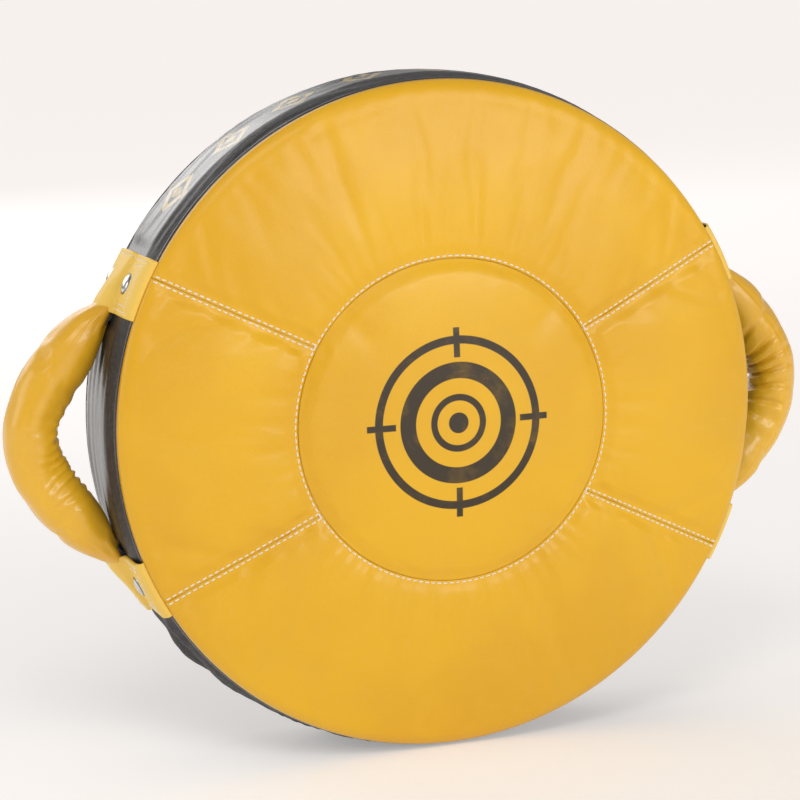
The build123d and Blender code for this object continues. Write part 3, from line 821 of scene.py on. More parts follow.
def grip_blank(name):
    rings, around = GRIP_BLANK
    along = np.linspace(0, 1, rings)
    turn = np.arange(around) * 2 * np.pi / around
    points = tube_points(grip_rings(along, turn))
    pinned = np.zeros(len(points), bool)
    end = np.repeat(np.minimum(along, 1 - along), around)
    pinned[:rings * around] = end < 0.09
    pinned[rings * around:] = True
    return cloth_blank("blank_" + name, points, tube_faces(rings, around), pinned), points


def grip_swelling(moved):
    """How far a grip's blank swelled, outwards from its middle line."""
    rings, around = GRIP_BLANK
    turn = np.arange(around) * 2 * np.pi / around
    bare = grip_rings(np.linspace(0, 1, rings), turn)
    out = bare - bare.mean(1, keepdims=True)
    out /= np.linalg.norm(out, axis=2, keepdims=True)
    outward = (moved[:rings * around].reshape(rings, around, 3) * out).sum(2)
    return np.clip(outward, -GRIP_CAP, GRIP_CAP)


def pressed(points, side):
    """A right grip's points taken to their side, and pressed in towards the wall there."""
    radius = np.hypot(points[:, 0], points[:, 2])
    off = np.maximum(radius - WALL_RADIUS, 0)
    shrink = (radius - off * (1 - GRIP_REACH[side])) / radius
    points[:, 0] *= shrink * side
    points[:, 2] *= shrink
    return points


def grip(name, side, swell):
    rings, around = GRIP_FINE
    along = np.linspace(0, 1, rings)
    turn = np.arange(around) * 2 * np.pi / around
    extra = grip_folds(side, along, turn)
    if swell is not None:
        wrapped = np.concatenate([swell, swell[:, :1]], axis=1)
        places = np.arange(around) / around
        extra = extra + carried(swell.shape[0], along) @ wrapped @ carried(wrapped.shape[1], places).T
    extra = extra * ease(np.minimum(along, 1 - along), 0.0, 0.06)[:, None]
    points = tube_points(grip_rings(along, turn, extra))
    points = pressed(points, side)
    return new_piece(name, points, tube_faces(rings, around))


# ---- back -----------------------------------------------------------------------------------

SLOT_HALF = 7.0
SLOT_END = 136.0
PATCH_BACK = 31.5
TAB_END = 34.4          # how far a strap's tab reaches under its patch


def back_panel(name, level):
    """A back panel: its straight edge runs along the zip and its round edge along the piping."""
    start = math.degrees(math.asin((ZIP_HEIGHT + level * PANEL_GAP) / BACK_RADIUS))
    sweep = 180 - 2 * level * start
    across, up = bunched(150, 0.5), bunched(90 if level > 0 else 34, 0.5)
    low_x = BACK_RADIUS * math.cos(math.radians(start)) * (1 - 2 * across)
    slot = SLOT_HALF * (1 - ease(np.abs(low_x), SLOT_END - 2.5, SLOT_END + 2.5))
    low_height = ZIP_HEIGHT + level * (PANEL_GAP + slot)
    high_x, high_height = polar(BACK_RADIUS, 180 - start - level * sweep * (1 - across))
    share = up[:, None]
    x = low_x[None, :] * (1 - share) + high_x[None, :] * share
    height = low_height[None, :] * (1 - share) + high_height[None, :] * share
    edge = np.minimum(BACK_RADIUS - np.hypot(x, height), np.abs(height - ZIP_HEIGHT) - 0.15)
    y = BACK_Y - 1.1 * np.exp(-np.maximum(edge, 0) / 7) - 0.25
    y = y + 0.22 * wander(x, height, 110, 61 + level) + 0.10 * wander(x, height, 36, 62)
    angle = np.arctan2(height, x)
    y = y + 0.25 * np.sin(angle * 62 + 2 * wander(x, height, 60, 63)) * np.exp(-np.maximum(edge, 0) / 9)
    outer = stack(x, np.minimum(y, BACK_Y + 0.02), height)
    return shell_piece(name, outer, stack(x, 0 * x + BACK_Y - 2.0, height))


def strap_middle(height):
    """Depth of a forearm strap's middle line at a height."""
    seat, crest = strap_low[1] + 2.5, strap_high[1] - 2.5
    return crest + (seat - crest) * ease(np.abs(height), 40, 84)


def arm_strap(name, side):
    middle = side * (strap_low[0] + strap_high[0]) / 2
    half = (strap_high[2] - strap_low[2]) / 2
    height = np.linspace(-half, half, 150)
    depth = strap_middle(height)
    ty, tz = np.gradient(depth), np.gradient(height)
    size = np.hypot(ty, tz)
    ny, nz = tz / size, -ty / size
    around = np.arange(64) * 2 * np.pi / 64
    c, s = np.cos(around), np.sin(around)
    wide = 25.0 * np.sign(c) * np.abs(c) ** 0.28
    thick = np.sign(s) * np.abs(s) ** 0.42
    groove = 1 - 0.30 * np.exp(-((np.abs(wide) - 20.2) / 1.5) ** 2) - 0.10 * ease(np.abs(wide), 21.5, 25)
    arch = 1 - ease(np.abs(height), 60, 84)
    pad = 2.45 + (0.9 * arch)[:, None] * (1 - (wide / 20.5) ** 2).clip(0)[None, :]
    ripple = 0.22 * arch[:, None] * np.sin(2 * np.pi * height[:, None] / 14 + wide[None, :] / 9)
    inner = np.where(s < 0, 1.0, 0.55)[None, :]
    offset = pad * (groove * thick)[None, :] + ripple * inner * (s ** 2)[None, :] * np.sign(s)[None, :]
    x = middle + wide[None, :] + 0 * offset
    y = depth[:, None] + ny[:, None] * offset
    z = height[:, None] + nz[:, None] * offset
    under_patch = PATCH_BACK + np.maximum(5.15 * (1 - ease(np.abs(z), 115.5, 122.5)), 0.45)
    y = np.maximum(np.where(np.abs(z) > 112, np.minimum(y, under_patch), y), PATCH_BACK + 0.02)
    return new_piece(name, tube_points(stack(x, y, z)), tube_faces(150, 64))


def strap_patch(name, level):
    """A leather patch sewn over a strap's tab. It is open towards the middle, where the strap comes out."""
    low, high = node_box(name)
    across = bunched(64, 0.3)
    up = np.linspace(0, 1, 34)
    x = (low[0] + (high[0] - low[0]) * across)[None, :]
    near = low[2] if level > 0 else high[2]
    far = high[2] if level > 0 else low[2]
    height = (near + (far - near) * up)[:, None] - AXIS_Z
    middle = (low[0] + high[0]) / 2
    over = 1 - ease(np.abs(x - middle), 26.0, 29.8)
    over = over * (1 - ease(up[:, None] * abs(far - near), TAB_END - 6.5, TAB_END + 0.6))
    edge = np.minimum(np.minimum(x - low[0], high[0] - x), (1 - up)[:, None] * abs(far - near))
    rounded = 0.7 * (1 - np.clip(edge / 1.3, 0, 1)) ** 2 + 0.35 * np.exp(-((edge - 3.6) / 1.2) ** 2)
    top = low[1] + 2.0 + (high[1] - low[1] - 2.0) * over - rounded * (1 - 0.6 * over)
    under = np.maximum(low[1] + (high[1] - low[1] - 2.0) * over, low[1]) + 0 * top
    under = np.minimum(under, top - 0.9)
    outer = stack(x, top, height)
    return shell_piece(name + "_leather", outer, stack(x, under, height))


def tooth_shape(level):
    """One zip tooth with a head at its inner end and a clamp round the tape's edge."""
    outline = ((-1.25, 0.62, 0.62), (-0.5, 0.72, 1.1), (0.15, 0.72, 1.1), (0.62, 0.86, 0.95),
               (1.2, 0.55, 0.7))
    turn = np.arange(8) * np.pi / 4 + np.pi / 8
    rings = [stack(half * np.cos(turn), -level * z, deep * np.sin(turn)) for z, half, deep in outline]
    return mesh_object("tooth_shape", tube_points(np.array(rings)), tube_faces(5, 8))


def zip_teeth(name, level, tree, finish):
    low, high = node_box(name)
    x = np.linspace(low[0] + 1.2, high[0] - 1.2, 120)
    place = [Vector((p * MM, (low[1] + high[1]) / 2 * MM, (low[2] + high[2]) / 2 * MM)) for p in x]
    source = line_source("teeth_line", [[(p, Vector((0, 1, 0))) for p in place]])
    shape = tooth_shape(level)
    piece = grown(name + "_row", source, tree, {
        "Pitch": 2.2 * MM, "Shape": shape, "Unevenness": 0.02, "Seed": 3, "Finish": finish})
    bpy.data.objects.remove(shape)
    return piece


# ---- threads --------------------------------------------------------------------------------

def line_points(first, second):
    """Even places along a straight line."""
    spacing = 1.6
    first, second = np.array(first, float), np.array(second, float)
    count = max(int(np.linalg.norm(second - first) / spacing), 2) + 1
    return first + (second - first) * np.linspace(0, 1, count)[:, None]


def face_rows(panels):
    """The double rows on the four radial seams, and the single row round the centre panel."""
    rows = []
    back = (0, 1, 0)
    for side, level in CORNERS.values():
        inner, outer = seam_ends(side, level)
        run = (outer - inner) / math.hypot(*(outer - inner))
        across = np.array((-run[1], run[0]))
        level_panel = panels["top" if level > 0 else "bottom"]
        side_panel = panels["right" if side > 0 else "left"]
        for offset in (-ROW_OFFSET, ROW_OFFSET):
            start, end = inner + run * 3.2 + across * offset, outer - run * 3.5 + across * offset
            points = line_points((start[0], FRONT_Y, start[1]), (end[0], FRONT_Y, end[1]))
            above = end[1] * level > abs(end[0]) * math.tan(math.radians(SEAM_OUTER_ANGLE))
            rows.append(laid_on(level_panel if above else side_panel, points, back))
    turn = np.linspace(0, 360, 720)
    x, height = polar(CIRCLE_ROW_RADIUS, turn)
    ring = stack(x, FRONT_Y, height)
    for name in PANELS[1:]:
        piece = panels[name]
        found = [laid_on(piece, ring[i:i + 1], back) for i in range(len(ring))]
        run = []
        for hit in found + [[]]:
            if hit:
                run.append(hit[0])
                continue
            if len(run) > 4:
                rows.append(run)
            run = []
    return rows


def band_rows(piece, side, level):
    """Rows along a band's edges, with a second short row at its corners beside the face."""
    rows = []
    front, rear = band_low[1], band_high[1]

    def row(first, second):
        angle = wall_angle(side, level, np.linspace(first[0], second[0], 60))
        y = np.linspace(first[1], second[1], 60)
        x, height = polar(WALL_RADIUS + 5, angle)
        inward = -np.stack([np.cos(np.radians(angle)), 0 * angle, np.sin(np.radians(angle))], 1)
        rows.append(laid_on(piece, stack(x, y, height), inward))

    for y in (front + 3.2, rear - 3.2):
        row((BAND_START + 0.8, y), (BAND_END - 0.8, y))
    for angle, further in ((BAND_START + 0.8, 1), (BAND_END - 0.8, -1)):
        row((angle, front + 3.2), (angle, GRIP_Y - 15 if further > 0 else rear - 3.2))
        if further > 0:
            row((angle, GRIP_Y + 15), (angle, rear - 3.2))
        second = angle + further * 0.95
        row((second, front + 5.5), (second, front + 19))
        row((angle + further * 0.1, front + 19), (second, front + 19))
    return [r for r in rows if len(r) > 2]


def patch_rows(piece, name):
    """A box of stitches round a patch, with a cross over the strap's tab."""
    low, high = node_box(name)
    upper = low[2] - AXIS_Z > 0
    near = (low[2] if upper else high[2]) - AXIS_Z
    far = (high[2] if upper else low[2]) - AXIS_Z
    way = 1 if upper else -1
    margin, inset, drop = 3.6, 12, 5
    left, right = low[0] + margin, high[0] - margin
    top, bottom = far - way * margin, near + way * margin
    cross_left, cross_right, cross_top = left + inset, right - inset, top - way * drop
    y = high[1]
    ends = (
        ((left, bottom), (left, top)),
        ((left, top), (right, top)),
        ((right, top), (right, bottom)),
        ((cross_left, bottom), (cross_right, bottom)),
        ((cross_left, bottom), (cross_right, cross_top)),
        ((cross_right, bottom), (cross_left, cross_top)),
    )
    return [laid_on(piece, line_points((a[0], y, a[1]), (b[0], y, b[1])), (0, -1, 0)) for a, b in ends]


def strap_rows(piece, side):
    middle = side * (strap_low[0] + strap_high[0]) / 2
    height = np.linspace(-86, 86, 150)
    rows = []
    for offset in (-20.2, 20.2):
        points = stack(middle + offset, strap_middle(height) + 12, height)
        rows.append(laid_on(piece, points, (0, -1, 0)))
    return rows


def zip_rows(panels):
    rows = []
    for name, level in LEVELS.items():
        height = ZIP_HEIGHT + level * (SLOT_HALF + 2.8)
        points = line_points((-SLOT_END, BACK_Y + 5, height), (SLOT_END, BACK_Y + 5, height))
        rows.append(laid_on(panels[name], points, (0, -1, 0)))
    return rows


def edge_rows(piece, start, end, y):
    """A row round the side wall, close to one of its edges."""
    angle = np.linspace(start, end, int(abs(end - start) * 2.2))
    x, height = polar(WALL_RADIUS + 5, angle)
    inward = -np.stack([np.cos(np.radians(angle)), 0 * angle, np.sin(np.radians(angle))], 1)
    return laid_on(piece, stack(x, y, height), inward)


# ---- effects shared by several finishes -----------------------------------------------------

def effect(name, inputs, outputs):
    """A shader node group with named inputs and outputs."""
    tree = bpy.data.node_groups.new(name, "ShaderNodeTree")
    for title, kind, value in inputs:
        socket = tree.interface.new_socket(title, in_out="INPUT", socket_type=kind)
        if value is not None:
            socket.default_value = value
    for title, kind in outputs:
        tree.interface.new_socket(title, in_out="OUTPUT", socket_type=kind)
    return tree, tree.nodes.new("NodeGroupInput"), tree.nodes.new("NodeGroupOutput")


def sums(tree, operation, first, second, third=None):
    inputs = {0: first, 1: second}
    if third is not None:
        inputs[2] = third
    return put(tree, "ShaderNodeMath", inputs, operation=operation).outputs[0]


def ramp(tree, value, low, high, first=0.0, last=1.0, smooth=False):
    """Takes a value from low to high to one from first to last."""
    kind = "SMOOTHSTEP" if smooth else "LINEAR"
    return put(tree, "ShaderNodeMapRange", {
        "Value": value, "From Min": low, "From Max": high, "To Min": first, "To Max": last,
    }, interpolation_type=kind).outputs[0]


def between(tree, value, low, high, soft):
    """A mask that is 1 while value is from low to high, with soft edges."""
    rise = ramp(tree, value, low - soft, low + soft, smooth=True)
    fall = ramp(tree, value, high - soft, high + soft, 1.0, 0.0, smooth=True)
    return sums(tree, "MULTIPLY", rise, fall)


def noise(tree, place, scale, detail, rough=0.5):
    return put(tree, "ShaderNodeTexNoise",
               {"Vector": place, "Scale": scale, "Detail": detail, "Roughness": rough}).outputs[0]


def mixed(tree, share, first, second):
    """Two colours mixed by a share."""
    mix = put(tree, "ShaderNodeMix", {0: share, 6: first, 7: second}, data_type="RGBA")
    return mix.outputs[2]


def grain_effect():
    """Leather grain: small pebbles, the fine lines between them, and slow creases."""
    tree, first, last = effect("leather_grain", (
        ("Vector", "NodeSocketVector", None),
        ("Pebbles", "NodeSocketFloat", 700.0),
        ("Creases", "NodeSocketFloat", 90.0),
        ("Crease Share", "NodeSocketFloat", 0.35),
    ), (("Height", "NodeSocketFloat"), ("Pits", "NodeSocketFloat")))
    place = first.outputs["Vector"]
    bend = put(tree, "ShaderNodeTexNoise", {"Vector": place, "Scale": 260.0, "Detail": 2.0})
    shift = put(tree, "ShaderNodeVectorMath", {0: bend.outputs[1], "Scale": 0.0012}, operation="SCALE")
    bent = put(tree, "ShaderNodeVectorMath", {0: place, 1: shift.outputs[0]}, operation="ADD")
    cells = put(tree, "ShaderNodeTexVoronoi",
                {"Vector": bent.outputs[0], "Scale": first.outputs["Pebbles"]}, feature="DISTANCE_TO_EDGE")
    lines = ramp(tree, cells.outputs["Distance"], 0.0, 0.22, smooth=True)
    slow = noise(tree, place, first.outputs["Creases"], 5.0, 0.55)
    height = put(tree, "ShaderNodeMix", {
        0: first.outputs["Crease Share"], 2: lines, 3: slow}, data_type="FLOAT")
    pits = sums(tree, "SUBTRACT", 1.0, lines)
    tree.links.new(height.outputs[0], last.inputs["Height"])
    tree.links.new(pits, last.inputs["Pits"])
    return tree


def wear_effect():
    """Scuffs: broad rubbed patches broken up by thin scratches."""
    tree, first, last = effect("handling_wear", (
        ("Vector", "NodeSocketVector", None),
        ("Patches", "NodeSocketFloat", 14.0),
        ("Amount", "NodeSocketFloat", 0.5),
    ), (("Mask", "NodeSocketFloat"),))
    place = first.outputs["Vector"]
    broad = noise(tree, place, first.outputs["Patches"], 4.0, 0.6)
    patch = ramp(tree, broad, 0.5, 0.72, smooth=True)
    turned = put(tree, "ShaderNodeMapping", {
        "Vector": place, "Rotation": (0.4, 0.9, 0.3), "Scale": (60.0, 60.0, 900.0)})
    fine = noise(tree, turned.outputs[0], 1.0, 3.0)
    scratch = ramp(tree, fine, 0.56, 0.74, smooth=True)
    both = sums(tree, "MULTIPLY_ADD", patch, 0.55, sums(tree, "MULTIPLY", scratch, patch))
    amount = sums(tree, "MULTIPLY", both, first.outputs["Amount"])
    tree.links.new(amount, last.inputs["Mask"])
    return tree


def drift_effect():
    """A slow drift from one colour to another, with a light film of dust."""
    tree, first, last = effect("colour_drift", (
        ("Vector", "NodeSocketVector", None),
        ("Colour", "NodeSocketColor", None),
        ("Shade", "NodeSocketColor", None),
        ("Patches", "NodeSocketFloat", 9.0),
        ("Dust", "NodeSocketFloat", 0.05),
    ), (("Colour", "NodeSocketColor"), ("Mask", "NodeSocketFloat")))
    place = first.outputs["Vector"]
    slow = noise(tree, place, first.outputs["Patches"], 4.0)
    share = ramp(tree, slow, 0.34, 0.66, smooth=True)
    colour = mixed(tree, share, first.outputs["Colour"], first.outputs["Shade"])
    film = ramp(tree, noise(tree, place, 420.0, 3.0), 0.48, 0.78)
    dust = sums(tree, "MULTIPLY", film, first.outputs["Dust"])
    dusty = mixed(tree, dust, colour, (0.62, 0.57, 0.50, 1.0))
    tree.links.new(dusty, last.inputs["Colour"])
    tree.links.new(share, last.inputs["Mask"])
    return tree


def weave_effect():
    """Crossing threads: their height, and a mask of the threads that lie on top."""
    tree, first, last = effect("woven_threads", (
        ("Vector", "NodeSocketVector", None),
        ("Threads", "NodeSocketVector", (700.0, 700.0, 700.0)),
    ), (("Height", "NodeSocketFloat"), ("Mask", "NodeSocketFloat")))
    spread = put(tree, "ShaderNodeVectorMath",
                 {0: first.outputs["Vector"], 1: first.outputs["Threads"]}, operation="MULTIPLY")
    axes = put(tree, "ShaderNodeSeparateXYZ", {0: spread.outputs[0]})
    across = sums(tree, "SINE", axes.outputs[0], 0.0)
    upright = sums(tree, "SINE", axes.outputs[2], 0.0)
    deep = sums(tree, "SINE", axes.outputs[1], 0.0)
    top = sums(tree, "MULTIPLY", across, upright)
    whole = sums(tree, "MULTIPLY_ADD", top, 0.5, sums(tree, "MULTIPLY", deep, 0.25))
    height = sums(tree, "ADD", whole, 0.5)
    tree.links.new(height, last.inputs["Height"])
    tree.links.new(ramp(tree, height, 0.3, 0.8), last.inputs["Mask"])
    return tree


GRAIN = grain_effect()
WEAR = wear_effect()
DRIFT = drift_effect()
WEAVE = weave_effect()


# ---- finishes -------------------------------------------------------------------------------

def new_finish(name, **constants):
    """A material with its Principled shader, and the place on the object."""
    finish = bpy.data.materials.new(name)
    finish.use_nodes = True
    tree = finish.node_tree
    tree.nodes.clear()
    surface = put(tree, "ShaderNodeBsdfPrincipled")
    for title, value in constants.items():
        surface.inputs[title.replace("_", " ")].default_value = value
    out = tree.nodes.new("ShaderNodeOutputMaterial")
    tree.links.new(surface.outputs[0], out.inputs[0])
    place = put(tree, "ShaderNodeTexCoord").outputs["Object"]
    return finish, tree, surface, place


def use(tree, group, **inputs):
    named = {title.replace("_", " "): value for title, value in inputs.items()}
    return put(tree, "ShaderNodeGroup", named, node_tree=group)


def drifted(tree, place, colour, shade, patches, dust):
    """A colour that drifts to a shade of it, under a little dust, and the share of the shade."""
    node = use(tree, DRIFT, Vector=place, Colour=colour, Shade=shade, Patches=patches, Dust=dust)
    return node.outputs["Colour"], node.outputs["Mask"]


def worn_mask(tree, place, patches, amount):
    return use(tree, WEAR, Vector=place, Patches=patches, Amount=amount).outputs["Mask"]


def darker(colour, share):
    return tuple(part * share for part in colour[:3]) + (1.0,)


def colour_it(tree, surface, colour):
    tree.links.new(colour, surface.inputs["Base Color"])


def bump(tree, surface, height, strength, depth, before=None):
    """Feeds a height to the surface's normal, depth in metres."""
    inputs = {"Height": height, "Strength": strength, "Distance": depth}
    if before is not None:
        inputs["Normal"] = before
    node = put(tree, "ShaderNodeBump", inputs)
    tree.links.new(node.outputs[0], surface.inputs["Normal"])
    return node.outputs[0]


def roughness(tree, surface, share, smooth, rough):
    tree.links.new(ramp(tree, share, 0.0, 1.0, smooth, rough), surface.inputs["Roughness"])


def leather_finish(name, colour, shade, worn, smooth=0.34, rough=0.46, pebbles=850.0, grain=0.16,
                   amount=0.22, creases=110.0, coat=0.0):
    """A soft coated leather. Returns its parts, so that a print can be laid over it."""
    finish, tree, surface, place = new_finish(
        name, Specular_IOR_Level=0.36, Coat_Weight=coat, Coat_Roughness=0.20)
    drift, drift_mask = drifted(tree, place, colour, shade, 8.0, 0.03)
    wear = worn_mask(tree, place, 16.0, amount)
    skin = use(tree, GRAIN, Vector=place, Pebbles=pebbles, Creases=creases, Crease_Share=0.5)
    pits = sums(tree, "MULTIPLY", skin.outputs["Pits"], 0.12)
    pitted = mixed(tree, pits, mixed(tree, wear, drift, worn), shade)
    colour_it(tree, surface, pitted)
    roughness(tree, surface, sums(tree, "ADD", wear, sums(tree, "MULTIPLY", drift_mask, 0.35)), smooth, rough)
    bump(tree, surface, skin.outputs["Height"], grain, 0.0006)
    return finish, tree, surface, place, pitted


YELLOW = (0.775, 0.432, 0.010, 1.0)
YELLOW_SHADE = (0.705, 0.372, 0.008, 1.0)
YELLOW_WORN = (0.810, 0.495, 0.060, 1.0)


def yellow_leather():
    return leather_finish("yellow_leather", YELLOW, YELLOW_SHADE, YELLOW_WORN, coat=0.10)[0]


def band_leather():
    return leather_finish("band_leather", (0.88, 0.60, 0.12, 1.0), (0.82, 0.53, 0.085, 1.0),
                          (0.90, 0.66, 0.25, 1.0), smooth=0.42, rough=0.55, grain=0.22)[0]


def grip_leather():
    return leather_finish("grip_leather", (0.790, 0.440, 0.018, 1.0), (0.710, 0.375, 0.013, 1.0),
                          (0.86, 0.56, 0.10, 1.0), smooth=0.26, rough=0.38, grain=0.20, amount=0.3,
                          coat=0.45)[0]


def disc_place(tree, place):
    """Place measured from the middle of the disc: the parts along X and up, and the radius."""
    centred = put(tree, "ShaderNodeMapping", {"Vector": place, "Location": (0, 0, -AXIS_Z * MM)})
    axes = put(tree, "ShaderNodeSeparateXYZ", {0: centred.outputs[0]})
    flat = put(tree, "ShaderNodeCombineXYZ", {0: axes.outputs[0], 2: axes.outputs[2]})
    reach = put(tree, "ShaderNodeVectorMath", {0: flat.outputs[0]}, operation="LENGTH").outputs["Value"]
    return axes.outputs[0], axes.outputs[1], axes.outputs[2], reach


def target_leather():
    """The centre panel's leather, printed with a plain target: three rings, a dot and four ticks."""
    finish, tree, surface, place, colour = leather_finish(
        "target_leather", YELLOW, YELLOW_SHADE, YELLOW_WORN, coat=0.10)
    x, _, up, reach = disc_place(tree, place)
    marks = between(tree, reach, 0.0530, 0.0585, 0.0003)
    marks = sums(tree, "MAXIMUM", marks, between(tree, reach, 0.0300, 0.0410, 0.0003))
    marks = sums(tree, "MAXIMUM", marks, between(tree, reach, 0.0150, 0.0195, 0.0003))
    marks = sums(tree, "MAXIMUM", marks, between(tree, reach, -1.0, 0.0070, 0.0003))
    near_axis = sums(tree, "MINIMUM", sums(tree, "ABSOLUTE", x, 0.0), sums(tree, "ABSOLUTE", up, 0.0))
    ticks = sums(tree, "MULTIPLY", between(tree, near_axis, -1.0, 0.0022, 0.0003),
                 between(tree, reach, 0.0440, 0.0640, 0.0003))
    marks = sums(tree, "MAXIMUM", marks, ticks)
    whole = sums(tree, "SUBTRACT", 1.0, worn_mask(tree, place, 45.0, 0.16))
    ink = sums(tree, "MULTIPLY", marks, whole)
    inked = mixed(tree, sums(tree, "MULTIPLY", ink, 0.97), colour, (0.016, 0.013, 0.011, 1.0))
    colour_it(tree, surface, inked)
    return finish


def diamond_marks(tree, angle, y):
    """A mask of plain diamonds in a row over the top of the wall."""
    first_mark, last_mark = math.radians(44.0), math.radians(143.2)
    pitch = math.radians(12.4)
    middle = (WALL_FRONT + WALL_REAR) / 2 * MM
    count = sums(tree, "DIVIDE", sums(tree, "SUBTRACT", angle, first_mark), pitch)
    off = sums(tree, "SUBTRACT", sums(tree, "FRACT", count, 0.0), 0.5)
    across = sums(tree, "DIVIDE", sums(tree, "ABSOLUTE", off, 0.0), 0.33)
    deep = sums(tree, "DIVIDE", sums(tree, "ABSOLUTE", sums(tree, "SUBTRACT", y, middle), 0.0), 0.019)
    spread = sums(tree, "ADD", across, deep)
    outer = between(tree, spread, 0.62, 1.0, 0.02)
    marks = sums(tree, "MAXIMUM", outer, between(tree, spread, -1.0, 0.30, 0.02))
    return sums(tree, "MULTIPLY", marks, between(tree, angle, first_mark, last_mark, 0.001))


def wall_leather():
    """Black satin leather with lengthwise streaks, printed with a row of plain diamonds over the top."""
    finish, tree, surface, place = new_finish("wall_leather", Coat_Roughness=0.26, Specular_IOR_Level=0.30)
    x, y, up, _ = disc_place(tree, place)
    angle = put(tree, "ShaderNodeMath", {0: up, 1: x}, operation="ARCTAN2").outputs[0]
    arc = sums(tree, "MULTIPLY", angle, WALL_RADIUS * MM)
    streaked = put(tree, "ShaderNodeCombineXYZ", {0: sums(tree, "MULTIPLY", arc, 16.0),
                                                  1: sums(tree, "MULTIPLY", y, 330.0)})
    streaks = noise(tree, streaked.outputs[0], 1.0, 5.0, 0.6)
    wear = worn_mask(tree, place, 20.0, 0.35)
    drift, _ = drifted(tree, place, (0.022, 0.021, 0.022, 1.0), (0.034, 0.032, 0.033, 1.0), 12.0, 0.06)
    bare = mixed(tree, wear, drift, (0.085, 0.080, 0.078, 1.0))
    rubbed = sums(tree, "SUBTRACT", 1.0, sums(tree, "MULTIPLY", wear, 1.4))
    ink = sums(tree, "MULTIPLY", diamond_marks(tree, angle, y), sums(tree, "MULTIPLY", rubbed, 0.92))
    colour_it(tree, surface, mixed(tree, ink, bare, (0.50, 0.36, 0.11, 1.0)))
    fold = (WALL_FRONT + WALL_FOLD) * MM
    shine = ramp(tree, y, fold - 0.0015, fold + 0.0010, 0.0, 0.80)
    low = ramp(tree, up, -0.06, -0.13)
    bright = sums(tree, "SUBTRACT", 1.0, sums(tree, "MULTIPLY", low, 0.92))
    tree.links.new(sums(tree, "MULTIPLY", shine, bright), surface.inputs["Coat Weight"])
    skin = use(tree, GRAIN, Vector=place, Pebbles=800.0, Creases=120.0, Crease_Share=0.4)
    dull = sums(tree, "MULTIPLY_ADD", streaks, 0.34, sums(tree, "MULTIPLY", wear, 0.3))
    roughness(tree, surface, sums(tree, "MULTIPLY_ADD", low, 0.45, dull), 0.26, 0.80)
    first = bump(tree, surface, streaks, 0.35, 0.0010)
    bump(tree, surface, skin.outputs["Height"], 0.16, 0.0006, before=first)
    return finish


def black_leather():
    return leather_finish("black_leather", (0.024, 0.023, 0.024, 1.0), (0.034, 0.032, 0.033, 1.0),
                          (0.11, 0.10, 0.095, 1.0), smooth=0.40, rough=0.56, pebbles=560.0, grain=0.5,
                          amount=0.35, creases=70.0)[0]


def vinyl_finish(name, colour, shade, patches, dust, coat, smooth, rough):
    """A smooth moulded finish. The caller adds its relief."""
    finish, tree, surface, place = new_finish(name, **coat)
    drift, mask = drifted(tree, place, colour, shade, patches, dust)
    colour_it(tree, surface, drift)
    roughness(tree, surface, mask, smooth, rough)
    return finish, tree, surface, place


def piping_vinyl():
    finish, tree, surface, place = vinyl_finish(
        "piping_vinyl", (0.012, 0.012, 0.013, 1.0), (0.022, 0.021, 0.022, 1.0), 30.0, 0.05,
        {"Coat_Weight": 0.5, "Coat_Roughness": 0.12}, 0.20, 0.34)
    skin = use(tree, GRAIN, Vector=place, Pebbles=1200.0, Creases=150.0, Crease_Share=0.7)
    bump(tree, surface, skin.outputs["Height"], 0.25, 0.0005)
    return finish


def nylon_finish():
    finish, tree, surface, place = vinyl_finish(
        "tooth_nylon", (0.016, 0.016, 0.017, 1.0), (0.030, 0.030, 0.032, 1.0), 90.0, 0.08,
        {"Coat_Weight": 0.15}, 0.30, 0.45)
    bump(tree, surface, noise(tree, place, 900.0, 2.0), 0.2, 0.0003)
    return finish


def metal_finish(name, colour, smooth, rough):
    finish, tree, surface, place = new_finish(name, Metallic=1.0)
    wear = worn_mask(tree, place, 140.0, 0.8)
    drift, _ = drifted(tree, place, colour, darker(colour, 0.86), 60.0, 0.04)
    rubbed = mixed(tree, wear, drift, (0.42, 0.40, 0.38, 1.0))
    # A rivet's rim is darkened with painted shade, from the mask that its mesh carries
    rim_shade = put(tree, "ShaderNodeAttribute", attribute_name="rim_shade").outputs["Fac"]
    colour_it(tree, surface, mixed(tree, rim_shade, rubbed, (0.035, 0.030, 0.028, 1.0)))
    roughness(tree, surface, sums(tree, "MAXIMUM", wear, rim_shade), smooth, rough)
    bump(tree, surface, noise(tree, place, 500.0, 3.0), 0.12, 0.0003)
    return finish


def thread_finish(name, colour, shade):
    """Twisted thread, with painted shade where its plies meet."""
    finish, tree, surface, place = new_finish(name, Sheen_Weight=0.25)
    plies = put(tree, "ShaderNodeTexWave", {"Vector": place, "Scale": 420.0, "Distortion": 1.5},
                bands_direction="DIAGONAL").outputs["Fac"]
    colour_it(tree, surface, mixed(tree, plies, shade, colour))
    roughness(tree, surface, plies, 0.62, 0.80)
    bump(tree, surface, plies, 0.4, 0.0003)
    return finish


def foam_finish(name, colour, shade, cells):
    finish, tree, surface, place = new_finish(name, Sheen_Weight=0.15)
    pores = put(tree, "ShaderNodeTexVoronoi", {"Vector": place, "Scale": cells}, feature="SMOOTH_F1")
    drift, _ = drifted(tree, place, colour, shade, 22.0, 0.02)
    # The middle of each pore is darkened with painted shade
    hollow = ramp(tree, pores.outputs["Distance"], 0.55, 0.1)
    colour_it(tree, surface, mixed(tree, sums(tree, "MULTIPLY", hollow, 0.5), drift, darker(colour, 0.6)))
    roughness(tree, surface, hollow, 0.82, 0.95)
    bump(tree, surface, pores.outputs["Distance"], 0.6, 0.0010)
    return finish


